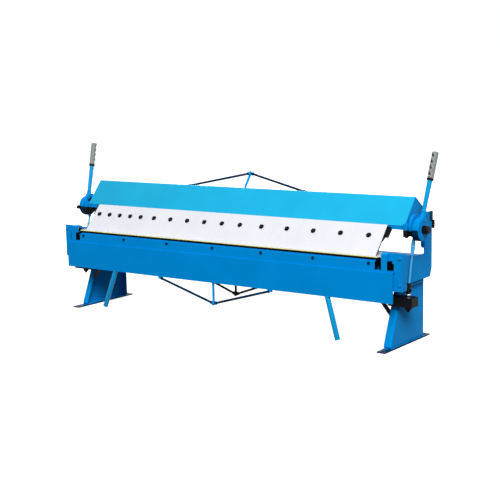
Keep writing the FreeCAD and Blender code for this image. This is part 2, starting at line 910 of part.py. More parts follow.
def make_apron():
    """Bending leaf: plate, edge band, nose bar, blade, stiffener, bolts and handles."""
    front = Vector(0, -1, 0)
    grip = apron_bolt_grip
    radius = small_bolt_radius
    bolts = []
    holes = []
    for step in range(apron_bolt_count):
        x = (step - (apron_bolt_count - 1) / 2) * apron_bolt_pitch
        seat = Vector(x, band_set_back, band_top - apron_bolt_drop)
        bolts.append(bolt(seat, front, grip, radius, small_bolt_flats, small_bolt_head))
        holes.append(bolt_hole(seat, front, grip, radius))
    save("apron_bolts", bolts)

    bolt_holes = Part.makeCompound(holes)
    save("apron_plate", [block(-apron_half, apron_half, 0, apron_thickness, apron_bottom, band_bottom)])
    band = block(-apron_half, apron_half, band_set_back, band_rear, band_bottom, band_top)
    save("apron_edge_band", [band.cut(end_notches()).cut(bolt_holes)])

    nose_front = apron_blade_rear - apron_nose_depth
    nose = [
        (band_rear, band_top - apron_nose_foot),
        (apron_blade_rear, band_top - apron_nose_foot),
        (apron_blade_rear, blade_bottom),
        (nose_front, blade_bottom),
        (nose_front, band_top),
        (band_rear, band_top),
    ]
    nose_bar = prism(nose, -apron_blade_half, apron_blade_half)
    save("apron_nose_bar", [nose_bar.cut(bolt_holes)])
    blade = block(
        -apron_blade_half,
        apron_blade_half,
        apron_blade_rear - apron_blade_depth,
        apron_blade_rear,
        blade_bottom,
        bend_height,
    )
    save("apron_blade", [blade])

    shelf_rear = apron_thickness + stiffener_depth
    lip_front = shelf_rear - stiffener_wall
    shelf_top = apron_bottom + stiffener_wall
    stiffener = [
        (apron_thickness, apron_bottom),
        (shelf_rear, apron_bottom),
        (shelf_rear, apron_bottom + stiffener_lip),
        (lip_front, apron_bottom + stiffener_lip),
        (lip_front, shelf_top),
        (apron_thickness, shelf_top),
    ]
    save("apron_stiffener", [prism(stiffener, -stiffener_half_length, stiffener_half_length)])
    make_ears()
    make_handles()


def make_ears():
    """Ear at each end of the apron that turns on the hinge pin, with its bronze bush."""
    ring = drum(ear_inner, ear_outer, bend_set_back, bend_height, ear_radius)
    ear_top = bend_height + ear_radius
    outline = [
        (band_set_back, notch_bottom),
        (band_rear + ear_foot_depth, notch_bottom),
        (bend_set_back, bend_height - ear_radius),
        (bend_set_back, ear_top),
        (band_set_back + ear_chamfer, ear_top),
        (band_set_back, ear_top - ear_chamfer),
    ]
    arm = prism(outline, ear_inner, ear_outer)
    bush_hole = drum(ear_inner, ear_outer, bend_set_back, bend_height, bush_radius)
    save_pair("apron_ear", ring.fuse(arm).cut(bush_hole).removeSplitter())
    bore_radius = hinge_pin_radius + running_clearance
    pin_hole = drum(ear_inner, ear_outer, bend_set_back, bend_height, bore_radius)
    save_both("hinge_bushes", [bush_hole.cut(pin_hole)])


def make_handles():
    """Tube handles that lean out under the apron, cut flat at its lower edge."""
    top = Vector(*handle_top, bend_height - handle_top_drop)
    foot = Vector(*handle_foot, bend_height - handle_foot_drop)
    direction = (top - foot).normalize()
    start = top + direction * handle_radius * 2
    outer = bar(foot, start, handle_radius)
    inner = bar(foot, start, handle_radius - handle_wall)
    reach = 2 * handle_radius
    above = block(
        top.x - reach,
        top.x + reach,
        top.y - reach,
        top.y + reach,
        apron_bottom,
        apron_bottom + 2 * reach,
    )
    save_pair("apron_handle", outer.cut(inner).cut(above))


def tie_frame(apex, root, half_span):
    """Two tie rods with their lugs, and the strut that holds them apart at the boss."""
    away = (apex - root).normalize()
    across = away.cross(along_x).normalize()
    half_boss = across * (tie_boss_width / 2)
    boss = bar(apex - half_boss, apex + half_boss, tie_boss_radius)
    solids = [boss, bar(root, apex, strut_radius).cut(boss)]
    for side in (-half_span, half_span):
        foot = root + along_x * side
        lug = bar(foot, foot + away * tie_lug_height, tie_lug_radius)
        middle = foot + away * (tie_lug_height / 2)
        solids += [lug, bar(middle, apex, tie_radius).cut(boss).cut(lug)]
    return solids


def make_tie_frames():
    """Tie rods under the apron, under the bed and behind the roof."""
    apron_root = Vector(0, apron_tie_y, apron_bottom)
    apron_apex = apron_root - Vector(0, 0, apron_tie_depth)
    save("apron_tie_rods", tie_frame(apron_apex, apron_root, apron_tie_half_span))
    bed_root = Vector(0, bed_tie_y, bed_bottom)
    bed_apex = bed_root - Vector(0, 0, bed_tie_depth)
    save("bed_tie_rods", tie_frame(bed_apex, bed_root, bed_tie_half_span))
    down_slope = base_top + math.tan(rear_angle) * (rear_run - beam_tie_set_back + front_run)
    beam_root = Vector(0, base_front + beam_tie_set_back, down_slope)
    outward = Vector(0, math.sin(rear_angle), math.cos(rear_angle))
    beam_apex = beam_root + outward * beam_tie_height
    save("beam_tie_rods", tie_frame(beam_apex, beam_root, beam_tie_half_span))


os.makedirs("parts", exist_ok=True)
make_fingers()
make_beam()
make_bearings()
make_levers()
make_links()
make_bed()
make_side_plates()
make_hinge_blocks()
make_adjusters()
make_legs()
make_apron()
make_tie_frames()
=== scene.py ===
"""Finished looks of a box and pan brake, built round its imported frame."""

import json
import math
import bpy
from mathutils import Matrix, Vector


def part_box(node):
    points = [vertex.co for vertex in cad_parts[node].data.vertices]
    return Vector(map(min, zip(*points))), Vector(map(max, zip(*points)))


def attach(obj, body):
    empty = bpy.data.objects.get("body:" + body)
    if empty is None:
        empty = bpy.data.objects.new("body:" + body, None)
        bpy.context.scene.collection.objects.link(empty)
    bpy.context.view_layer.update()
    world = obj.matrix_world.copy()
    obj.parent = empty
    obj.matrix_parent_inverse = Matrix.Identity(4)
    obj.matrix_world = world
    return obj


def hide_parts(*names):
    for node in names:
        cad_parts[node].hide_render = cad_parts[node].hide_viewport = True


bl_info = {
    "name": "Box and pan brake",
    "version": (1, 0, 0),
    "blender": (4, 5, 0),
    "location": "3D View > Sidebar > Brake",
    "description": "Finishes the frame of a box and pan brake with its pieces and materials",
    "category": "Object",
}

import bpy
import numpy as np
from mathutils import Matrix, Vector

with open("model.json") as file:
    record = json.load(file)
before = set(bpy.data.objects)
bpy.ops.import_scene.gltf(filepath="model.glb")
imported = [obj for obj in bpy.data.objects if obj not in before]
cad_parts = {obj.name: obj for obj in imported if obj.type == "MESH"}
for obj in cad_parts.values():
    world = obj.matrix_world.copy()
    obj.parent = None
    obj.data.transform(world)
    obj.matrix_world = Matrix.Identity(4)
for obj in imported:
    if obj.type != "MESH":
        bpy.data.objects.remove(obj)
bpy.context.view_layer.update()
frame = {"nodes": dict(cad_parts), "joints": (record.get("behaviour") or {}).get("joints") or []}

# Places are in millimetres from the middle of the foot bolts, as on the drawing. Pieces at the
# ends are drawn for the right end, and mirrored for the left one.
MM = 0.001
ALONG, BACK, UP = np.eye(3)
ENDS = ("right", "left")

# The fingers' front faces share one sloping plane.
FINGER_SLOPE = math.radians(49.1)
FINGER_OUTWARD = np.array([0.0, -math.sin(FINGER_SLOPE), math.cos(FINGER_SLOPE)])
FINGER_UP = np.array([0.0, math.cos(FINGER_SLOPE), math.sin(FINGER_SLOPE)])
FINGER_NOSE = np.array([0.0, -226.9, 582.3])
FINGER_WIDTHS = np.repeat([101.6, 152.4, 203.2], [5, 6, 5])
FINGER_BOLT_PLACE = 144.0

# Thickness of the folded sheet of the roof and the legs, and how far the roof's ridge is behind
# its front edge.
SHEET = 6.0
RIDGE_SET_BACK = 136.0

# Bolt heads: width over flats, height and radius of the shank.
M12 = (18, 7.5, 6)
M12_LOW = (18, 6, 6)
M16 = (24, 10, 8)
LOCK_SCREW = (26, 14, 9)
# Radius of a bolt's or nut's washer face, as a share of its width over flats.
WASHER_FACE = 0.47

HUB_RADIUS = 72.0
STRAP_RADIUS = 72.0
STRAP_WIDTH = 20.0

# Turnbuckles, down from the strap's middle: their top, their foot, and how long a boss is.
BUCKLE_TOP = 82.0
BUCKLE_FOOT = 172.0
BUCKLE_BOSS = 22.0

# Slope of the legs' front edges.
LEG_LEAN = math.radians(22.3)

# Patches of enamelled pieces that are not blue: what they add to the material's name, their
# colour, and each one's middle and half size. They are alike at both ends of the machine.
# They are painted shade: dark faces in the recesses round the hinge ears, the shadow line
# under the apron's blade, and the hubs' lower halves. The straps' blackened lower halves are
# partly steel left black and partly painted shade.
PATCHES = {
    # block, ear and band: painted shade, dark in the recesses beside the hinge ears.
    "block": ("machined faces bare", "oxide", ((1294.0, -238.0, 531.0), (53.0, 16.0, 33.0))),
    "ear": ("machined sides bare", "oxide", ((1303.0, -243.0, 534.0), (21.0, 30.0, 28.0))),
    "band": ("sawn ends bare", "oxide", ((1250.0, -245.0, 545.0), (10.0, 40.0, 38.0))),
    # nose: painted shadow, the dark line under the apron's blade and the dark notch ends.
    "nose": (
        "upper edge and ends blackened",
        "oxide",
        ((0.0, -241.0, 574.0), (2000.0, 60.0, 11.0)),
        ((1250.0, -245.0, 545.0), (12.0, 40.0, 38.0)),
    ),
    # hub: painted shade, the lower half of the drum darkened to deep blue.
    "hub": ("lower half in deep blue", "tie_paint", ((1406.0, -13.0, 694.0), (22.4, 74.0, 39.0))),
    # strap: lower half blackened, partly a black steel half and partly painted shade.
    "strap": ("lower half blackened", "oxide", ((1373.0, -24.0, 636.0), (20.0, 90.0, 90.0))),
}


def linear(code):
    """Colour of an sRGB hex value as linear red, green, blue and alpha."""
    parts = np.array([int(code[start : start + 2], 16) for start in (0, 2, 4)]) / 255
    low = parts / 12.92
    high = ((parts + 0.055) / 1.055) ** 2.4
    return (*np.where(parts <= 0.04045, low, high).tolist(), 1.0)


def corners_of(node):
    """Lowest and highest corner of a node of the frame, in millimetres."""
    low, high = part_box(node)
    return np.array(low) / MM, np.array(high) / MM


def joint_place(name):
    """Point on a joint's axis, in millimetres."""
    found = next(joint for joint in frame["joints"] if joint["name"] == name)
    return np.array(found["pos_m"], float) / MM


def unit(vectors):
    """The vector, or each row of vectors, at length one."""
    vectors = np.asarray(vectors, float)
    return vectors / np.linalg.norm(vectors, axis=-1, keepdims=True)


def axes(along, beside):
    """Three square directions: the last runs along, the first as near beside as it can."""
    last = unit(along)
    first = unit(beside - last * np.dot(beside, last))
    return first, np.cross(last, first), last


def turns(count):
    """Angles evenly all round, in radians."""
    return np.arange(count) * 2 * math.pi / count


def around(count, first, second):
    """Directions all round an axis: cos t * first + sin t * second."""
    turn = turns(count)[:, None]
    return np.cos(turn) * first + np.sin(turn) * second


# Shells: points, four-cornered faces and end caps, all as arrays.


def skin(points, ring=False, flip=False):
    """Closed shell on a grid of points: each row is a loop, and each row is joined to the next.

    With ring the last row is joined to the first, otherwise the first and last loop are capped.
    """
    rows, count = points.shape[:2]
    index = np.arange(rows * count).reshape(rows, count)
    caps = [] if ring else [index[0, ::-1], index[-1]]
    if ring:
        index = np.vstack([index, index[:1]])
    beside = np.roll(index, -1, axis=1)
    quads = np.stack([index[:-1], beside[:-1], beside[1:], index[1:]], axis=-1).reshape(-1, 4)
    if flip:
        quads = quads[:, ::-1]
        caps = [cap[::-1] for cap in caps]
    return points.reshape(-1, 3), quads, caps


def mirrored(shell):
    """The same shell at the left end, its faces turned so that they still point outwards."""
    points, quads, caps = shell
    return points * [-1, 1, 1], quads[:, ::-1], [cap[::-1] for cap in caps]


def both_ends(shells):
    """Shells of the right end together with their mirror images."""
    return shells + [mirrored(shell) for shell in shells]


def turned(profile, foot, along, beside=BACK, flats=None, sides=48, ring=False):
    """Turned piece: a point is foot + height * along + radius * (cos t * first + sin t * second).

    The profile lists radius and height in millimetres, as on a drawing. With flats the radius
    stays within flats / 2 / cos(t from the nearest flat): a hexagon with a turned chamfer.
    """
    radius, height = np.asarray(profile, float).T
    reach = np.repeat(radius[:, None], sides, axis=1)
    if flats:
        sixth = math.pi / 3
        from_flat = (turns(sides) + sixth / 2) % sixth - sixth / 2
        reach = np.minimum(reach, flats / 2 / np.cos(from_flat))
    first, second, last = axes(along, beside)
    ways = around(sides, first, second)
    return skin(foot + height[:, None, None] * last + reach[..., None] * ways, ring)


def chamfered(radius, chamfer, start, end):
    """Profile of a plain length with a chamfer at both ends."""
    thin = radius - chamfer
    return [(thin, start), (radius, start + chamfer), (radius, end - chamfer), (thin, end)]


def threaded(radius, pitch, depth, start, end, foot, along, beside=BACK, sides=24):
    """Threaded rod: radius less depth * |2 * fraction(t / one turn - height / pitch) - 1|."""
    rows = int((end - start) / pitch * 4) + 2
    height = np.linspace(start, end, rows)[:, None]
    wave = np.abs(2 * ((np.arange(sides) / sides - height / pitch) % 1) - 1)
    inside = (height > start) & (height < end)
    reach = np.where(inside, radius - depth * wave, radius - depth)
    first, second, last = axes(along, beside)
    ways = around(sides, first, second)
    return skin(foot + height[..., None] * last + reach[..., None] * ways)


def rounded(corners, radii, steps=5):
    """Outline with a round of its own radius at each corner, and its outward directions.

    At a corner the outward direction n turns evenly from one edge's to the next one's; the
    point is centre + radius * n, and at an inner corner centre - radius * n.
    """
    corners = np.asarray(corners, float)
    radii = np.broadcast_to(np.asarray(radii, float), len(corners))
    edges = unit(np.roll(corners, -1, axis=0) - corners)
    after = np.stack([edges[:, 1], -edges[:, 0]], axis=1)
    before = np.roll(after, 1, axis=0)
    alike = (before * after).sum(axis=1)
    bend = np.arctan2(before[:, 0] * after[:, 1] - before[:, 1] * after[:, 0], alike)
    signed = (np.sign(bend) * radii)[:, None]
    centre = corners - signed * (before + after) / (1 + alike)[:, None]
    turn = bend[:, None] * np.linspace(0, 1, steps)
    away = np.stack(
        [
            before[:, :1] * np.cos(turn) - before[:, 1:] * np.sin(turn),
            before[:, :1] * np.sin(turn) + before[:, 1:] * np.cos(turn),
        ],
        axis=-1,
    )
    points = centre[:, None] + signed[..., None] * away
    return points.reshape(-1, 2), away.reshape(-1, 2)


def carried(outline, rows, origin, first, second, flip=False):
    """Outline carried along its own normal: row (inset, height) puts each point at
    outline - inset * outward, raised by height."""
    points, away = outline
    inset, height = np.asarray(rows, float).T
    flat = points[None] - inset[:, None, None] * away[None]
    placed = origin + flat[..., :1] * first + flat[..., 1:] * second
    return skin(placed + height[:, None, None] * np.cross(first, second), flip=flip)


def soft_rims(length, rim, steps=3):
    """Rows of a plate whose two rims are rounded: quarter circles of the rim's radius."""
    turn = np.linspace(0, math.pi / 2, steps)
    inset = rim * (1 - np.sin(turn))
    rise = rim * (1 - np.cos(turn))
    start = np.stack([inset, rise], axis=1)
    end = np.stack([inset[::-1], length - rise[::-1]], axis=1)
    return np.vstack([start, end])


def swept(path, radius, beside, sides=10):
    """Round bar along a flat path: a loop of the radius at each point, square to the path."""
    path = np.asarray(path, float)
    radius = np.broadcast_to(np.asarray(radius, float), len(path))
    along = unit(np.gradient(path, axis=0))
    second = unit(np.cross(along, beside))
    first = np.cross(second, along)
    ways = around(sides, first[:, None], second[:, None])
    return skin(path[:, None] + radius[:, None, None] * ways)


def weld_bead(corners, radius, beside, ripple=7.0):
    """Weld bead along straight runs: a bar with the radius times 1 + 0.12 * |sin(pi * s / ripple)|
    at a length s, tapered at both ends."""
    corners = np.asarray(corners, float)
    steps = np.linalg.norm(np.diff(corners, axis=0), axis=1)
    reach = np.concatenate([[0], np.cumsum(steps)])
    count = int(reach[-1] / ripple * 3) + 4
    place = np.linspace(0, reach[-1], count)
    path = np.stack([np.interp(place, reach, corners[:, axis]) for axis in range(3)], axis=1)
    swell = 1 + 0.12 * np.abs(np.sin(math.pi * place / ripple))
    end = np.minimum(place, reach[-1] - place)
    taper = np.clip(0.45 + end / (2 * radius), 0.45, 1)
    return swept(path, radius * swell * taper, beside, 8)


def bolt(seat, outward, flats, height, shank, grip):
    """Hexagon bolt on its seat: shank, washer face, flats and the turned chamfer on top."""
    corner = flats / math.sqrt(3)
    face = flats * WASHER_FACE
    lip = 0.08 * height
    profile = [(shank - 1, -grip), (shank, 1 - grip), (shank, 0), (face, 0), (face, lip)]
    profile += [(corner, lip), (corner, height * 0.72), (face, height * 0.985)]
    profile.append((face - 0.8, height))
    return turned(profile, seat, outward, ALONG, flats, 36)


def nut(seat, outward, flats, height, bore, beside=ALONG):
    """Hexagon nut, chamfered at both faces."""
    corner = flats / math.sqrt(3)
    face = flats * WASHER_FACE
    chamfer = height * 0.2
    profile = [(bore, 0), (face, 0), (corner, chamfer), (corner, height - chamfer)]
    profile += [(face, height), (bore, height)]
    return turned(profile, seat, outward, beside, flats, 36, ring=True)


def washer(seat, outward, radius, height, bore, edge=0.5, sides=48):
    """Flat ring with broken edges. Its outward direction can't be BACK or against it."""
    profile = [(bore, 0), *chamfered(radius, edge, 0, height), (bore, height)]
    return turned(profile, seat, outward, sides=sides, ring=True)


def make_piece(name, body, look, shells, replaces=(), sharp=32):
    """Object of several shells in one finish, riding on a body of the frame."""
    counts = np.cumsum([0] + [len(shell[0]) for shell in shells])
    points = np.vstack([shell[0] for shell in shells]) * MM
    faces = []
    for start, (_, quads, caps) in zip(counts, shells):
        faces += (quads + start).tolist()
        faces += [(cap + start).tolist() for cap in caps]
    mesh = bpy.data.meshes.new(name)
    mesh.from_pydata(points, [], faces)
    mesh.shade_smooth()
    mesh.set_sharp_from_angle(angle=math.radians(sharp))
    mesh.validate()
    mesh.materials.append(finish(look))
    made = bpy.data.objects.new(name, mesh)
    bpy.context.scene.collection.objects.link(made)
    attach(made, body)
    if replaces:
        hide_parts(*replaces)
    return made


def make_at(end, name, body, look, shells, node=None, sharp=32):
    """Piece at one end, named for it, in the place of that end's node if one is given."""
    if end == "left":
        shells = [mirrored(shell) for shell in shells]
    nodes = [f"{node}_{end}"] if node else ()
    return make_piece(f"{name}_{end}", body, look, shells, nodes, sharp)


def keep_nodes(looks, edge=0.0):
    """Nodes of the frame, each with its own finish, and their edges broken by a small round."""
    for name, look in looks.items():
        node = frame["nodes"][name]
        node.data.materials.clear()
        node.data.materials.append(finish(look))
        if edge:
            weld = node.modifiers.new("joined corners", "WELD")
            weld.merge_threshold = 0.00001
            flat = node.modifiers.new("flat faces", "DECIMATE")
            flat.decimate_type = "DISSOLVE"
            flat.angle_limit = math.radians(1)
            round_off = node.modifiers.new("broken edges", "BEVEL")
            round_off.width = edge * MM
            round_off.segments = 2
            round_off.limit_method = "ANGLE"
            round_off.angle_limit = math.radians(40)
            round_off.harden_normals = True


# Materials


def toned(colour, share):
    """Colour times a share, or times one share each for red, green and blue."""
    return (*np.minimum(1.0, np.multiply(colour[:3], share)).tolist(), 1.0)


def add_node(tree, kind, inputs=(), **settings):
    """One shader node with its settings; an input is a value, or the socket that feeds it."""
    made = tree.nodes.new(kind)
    for name, value in settings.items():
        setattr(made, name, value)
    for socket, value in dict(inputs).items():
        if isinstance(value, bpy.types.NodeSocket):
            tree.links.new(value, made.inputs[socket])
        else:
            made.inputs[socket].default_value = value
    return made


def new_material(name):
    """Empty material with its tree and its object coordinates in metres."""
    material = bpy.data.materials.new(name)
    material.use_nodes = True
    tree = material.node_tree
    tree.nodes.clear()
    return material, tree, add_node(tree, "ShaderNodeTexCoord").outputs["Object"]


def shaded(material, inputs, height=None, strength=0.0, distance=0.0):
    """The material with one Principled shader, and a height as its fine relief."""
    tree = material.node_tree
    if height:
        relief = {"Height": height, "Strength": strength, "Distance": distance}
        inputs["Normal"] = add_node(tree, "ShaderNodeBump", relief).outputs["Normal"]
    shader = add_node(tree, "ShaderNodeBsdfPrincipled", inputs)
    add_node(tree, "ShaderNodeOutputMaterial", {"Surface": shader.outputs["BSDF"]})
    return material


def maths(tree, operation, *values):
    """Result of one operation on its values."""
    return add_node(tree, "ShaderNodeMath", enumerate(values), operation=operation).outputs[0]


def mixed(tree, share, first, second):
    """Colour between two, by the share."""
    inputs = zip((0, 6, 7), (share, first, second))
    return add_node(tree, "ShaderNodeMix", inputs, data_type="RGBA").outputs[2]


def blended(tree, share, first, second):
    """Shader node between two, by the share."""
    inputs = {0: share, 1: first.outputs[0], 2: second.outputs[0]}
    return add_node(tree, "ShaderNodeMixShader", inputs)


def per_metre(millimetres):
    """Scale of a noise or wave whose grains are so many millimetres across."""
    return 1000 / millimetres


def noise(tree, place, grain, detail=3.0, rough=0.5):
    """Soft noise whose grains have a size in millimetres."""
    inputs = {"Vector": place, "Scale": per_metre(grain), "Detail": detail, "Roughness": rough}
    return add_node(tree, "ShaderNodeTexNoise", inputs).outputs["Fac"]


def ranged(tree, value, low, high, to_low=0, to_high=1):
    """Value brought from one range into another."""
    inputs = {"Value": value, "From Min": low, "From Max": high}
    inputs |= {"To Min": to_low, "To Max": to_high}
    return add_node(tree, "ShaderNodeMapRange", inputs).outputs["Result"]


def dotted(tree, first, second):
    """Dot product of two directions."""
    made = add_node(
        tree, "ShaderNodeVectorMath", {0: first, 1: second}, operation="DOT_PRODUCT"
    )
    return made.outputs["Value"]


def edge_share(tree, radius):
    """Zero on faces, rising to one on edges: how far a rounded normal leaves the flat one."""
    flat = add_node(tree, "ShaderNodeNewGeometry").outputs["Normal"]
    soft = add_node(tree, "ShaderNodeBevel", {"Radius": radius * MM}, samples=4)
    return ranged(tree, dotted(tree, flat, soft.outputs["Normal"]), 0.995, 0.8)


def patch_share(tree, place, middle, half):
    """One inside a box and zero outside it, alike at both ends of the machine."""
    parts = add_node(tree, "ShaderNodeSeparateXYZ", {"Vector": place}).outputs
    out = maths(tree, "ABSOLUTE", parts["X"])
    share = 1.0
    for value, centre, reach in zip((out, parts["Y"], parts["Z"]), middle, half):
        near = maths(tree, "COMPARE", value, centre * MM, reach * MM)
        share = maths(tree, "MULTIPLY", share, near)
    return share


def face_share(tree, place, outward, point):
    """One down to a millimetre under a plane, falling to zero at two millimetres."""
    level = float(np.dot(outward, point)) * MM
    return ranged(tree, dotted(tree, place, tuple(outward)), level - 2 * MM, level - 1 * MM)


def edge_band(tree, place, start, end):
    """One in front of the start line, none behind the end line, along Y in millimetres."""
    depth = add_node(tree, "ShaderNodeSeparateXYZ", {"Vector": place}).outputs["Y"]
    return ranged(tree, depth, start * MM, end * MM, 1, 0)


def sprayed_enamel(name, colour, edge_wear_and_highlight, patches=None, rough=0.36, gloss=0.04):
    """Machine enamel sprayed on steel.

    Gives the eye a saturated, even colour with a soft gloss, a fine orange peel some 3 mm
    across, and lighter edges: partly a thinner coat where it draws back from them, partly a
    painted highlight along them. The resin's gloss takes the pigment's tint, as it does in a
    coat with much pigment. Inside the patches, given by their colour and each one's middle and
    half size, that colour shows in its place; in the patches of PATCHES it is painted shade.
    """
    material, tree, place = new_material(name)
    cloud = noise(tree, place, 260.0, 2.0)
    body = mixed(tree, ranged(tree, cloud, 0.35, 0.65), toned(colour, 0.93), colour)
    scuff = noise(tree, place, 11.0, 4.0, 0.65)
    # Lighter at the edges: partly thin paint, partly painted highlight.
    thin_coat_and_highlight = maths(tree, "MULTIPLY", edge_share(tree, 1.6), ranged(tree, scuff, 0.5, 0.62))
    tint = mixed(tree, ranged(tree, thin_coat_and_highlight, 0, 1, 0, 0.55), body, edge_wear_and_highlight)
    for middle, half in patches[1:] if patches else ():
        tint = mixed(tree, patch_share(tree, place, middle, half), tint, patches[0])
    inputs = {
        "Base Color": tint,
        "Roughness": ranged(tree, scuff, 0.3, 0.7, rough - 0.03, rough + 0.08),
        "Specular IOR Level": gloss,
        "Specular Tint": (0.12, 0.6, 1.0, 1.0),
    }
    return shaded(material, inputs, noise(tree, place, 3.0, 1.0), 0.12, 0.0004)


def ground_plate(name, colour, edge=None, face=None):
    """Surface-ground tool steel.

    Gives the eye a pale, nearly white metal with fine straight grinding marks that run the
    short way over the plate, drawn 1.4 mm wide so that they show, and faint heat clouds.
    With an edge, given by its colour and the two lines it fades between, the very front, under
    a millimetre deep, keeps the straw tint of the hardened edge.
    With a face, given by the colour beside it, its outward direction and a point on it, only
    that face is ground, and all behind its plane takes the colour beside it: the fingers' sides
    and back are near black, and on the apron's blade the part under its ground top is a painted
    shadow, the dark line beneath the blade.
    """
    material, tree, place = new_material(name)
    stroke = add_node(tree, "ShaderNodeMapping", {"Vector": place, "Scale": (1.0, 0.04, 0.04)})
    marks = noise(tree, stroke.outputs["Vector"], 1.4, 3.0, 0.6)
    cloud = noise(tree, place, 180.0, 3.0)
    dull = toned(colour, 0.95)
    tint = mixed(tree, ranged(tree, cloud, 0.35, 0.7), colour, dull)
    tint = mixed(tree, ranged(tree, marks, 0.45, 0.75, 0, 0.5), tint, dull)
    if edge:
        tint = mixed(tree, edge_band(tree, place, *edge[1:]), tint, edge[0])
    if face:
        tint = mixed(tree, face_share(tree, place, *face[1:]), face[0], tint)
    inputs = {
        "Base Color": tint,
        "Metallic": 0.35,
        "Roughness": ranged(tree, marks, 0.3, 0.7, 0.42, 0.58),
    }
    return shaded(material, inputs, marks, 0.2, 0.0001)


def oxide_steel(name, colour, edge_wear_and_highlight, rough=0.42):
    """Hot-blackened steel.

    Gives the eye a near-black, slightly oily metal with brown-grey mottling and bare bright
    steel where tools and hands have rubbed its edges.
    """
    material, tree, place = new_material(name)
    mottle = noise(tree, place, 9.0, 4.0, 0.6)
    brown = toned(colour, (1.9, 1.6, 1.4))
    tint = mixed(tree, ranged(tree, mottle, 0.4, 0.7), colour, brown)
    spots = ranged(tree, mottle, 0.42, 0.6, 0, 0.8)
    rubbed = maths(tree, "MULTIPLY", edge_share(tree, 0.8), spots)
    inputs = {
        "Base Color": mixed(tree, rubbed, tint, edge_wear_and_highlight),
        "Metallic": 0.3,
        "Specular IOR Level": 0.12,
        "Roughness": ranged(tree, mottle, 0.3, 0.7, rough - 0.08, rough + 0.12),
    }
    return shaded(material, inputs, mottle, 0.15, 0.0003)


def plated_steel(name, colour):
    """Bright zinc plate on drawn bar.

    Gives the eye a bluish silver with a faint spangle and softly spread highlights.
    """
    material, tree, place = new_material(name)
    spangle = noise(tree, place, 4.0, 2.0)
    pale = toned(colour, 1.12)
    inputs = {
        "Base Color": mixed(tree, ranged(tree, spangle, 0.4, 0.6), colour, pale),
        "Metallic": 1.0,
        "Roughness": ranged(tree, spangle, 0.3, 0.7, 0.24, 0.4),
    }
    return shaded(material, inputs)


def turned_bronze(name, colour):
    """Turned bearing bronze.

    Gives the eye a warm brown gold with fine turning rings, drawn 0.8 mm apart, and darker,
    tarnished patches.
    """
    material, tree, place = new_material(name)
    wave = {"Vector": place, "Scale": per_metre(0.8) / 20, "Distortion": 0.4, "Detail": 1.0}
    rings = add_node(tree, "ShaderNodeTexWave", wave, bands_direction="X").outputs["Fac"]
    tarnish = noise(tree, place, 7.0, 3.0)
    dark = toned(colour, 0.6)
    inputs = {
        "Base Color": mixed(tree, ranged(tree, tarnish, 0.45, 0.7), colour, dark),
        "Metallic": 1.0,
        "Roughness": ranged(tree, rings, 0, 1, 0.28, 0.4),
    }
    return shaded(material, inputs, rings, 0.2, 0.0001)


def moulded_grip(name, colour, groove):
    """Moulded PVC grip.

    Gives the eye a pale warm grey with a matt, pebbled skin some 1.2 mm across; the finger
    grooves, which the mesh marks, hold black rubber.
    """
    material, tree, place = new_material(name)
    pebble = add_node(tree, "ShaderNodeTexVoronoi", {"Vector": place, "Scale": per_metre(1.2)})
    soil = noise(tree, place, 25.0, 3.0)
    vinyl = mixed(tree, ranged(tree, soil, 0.4, 0.7), colour, toned(colour, 0.86))
    inlay = add_node(tree, "ShaderNodeAttribute", attribute_name="inlay").outputs["Fac"]
    inputs = {
        "Base Color": mixed(tree, ranged(tree, inlay, 0.35, 0.65), vinyl, groove),
        "Roughness": ranged(tree, soil, 0.3, 0.7, 0.5, 0.65),
        "IOR": 1.53,
    }
    return shaded(material, inputs, pebble.outputs["Distance"], 0.25, 0.0002)


def white_paper(name, colour):
    """Matt paper sweep of a photo studio.

    Gives the eye plain white with the machine's soft shadow on it. To the machine's undersides
    it is dim, as a black-flagged floor is, so their shade stays deep.
    """
    material, tree, place = new_material(name)
    fibre = noise(tree, place, 40.0, 2.0)
    tint = mixed(tree, ranged(tree, fibre, 0.3, 0.7), colour, toned(colour, 0.985))
    matt = add_node(tree, "ShaderNodeBsdfDiffuse", {"Color": tint})
    glow = add_node(tree, "ShaderNodeEmission", {"Color": colour, "Strength": 1.75})
    dim = add_node(tree, "ShaderNodeBsdfDiffuse", {"Color": (0.1, 0.1, 0.11, 1.0)})
    pale_mirror = add_node(tree, "ShaderNodeEmission", {"Color": colour, "Strength": 0.8})
    rays = add_node(tree, "ShaderNodeLightPath").outputs
    mirror_rays = maths(tree, "MAXIMUM", rays["Is Glossy Ray"], rays["Is Transmission Ray"])
    other = blended(tree, mirror_rays, dim, pale_mirror)
    whole = blended(tree, rays["Is Camera Ray"], other, blended(tree, 0.5, matt, glow))
    add_node(tree, "ShaderNodeOutputMaterial", {"Surface": whole.outputs[0]})
    return material


def colour_setting(name, description, code):
    """Colour of a finish, its default given as an sRGB hex value."""
    return bpy.props.FloatVectorProperty(
        name=name,
        description=description,
        subtype="COLOR",
        size=4,
        min=0,
        max=1,
        default=linear(code),
    )


def length_setting(name, description, millimetres):
    """Length of a detail."""
    return bpy.props.FloatProperty(
        name=name,
        description=description,
        subtype="DISTANCE",
        unit="LENGTH",
        min=0,
        default=millimetres * MM,
    )


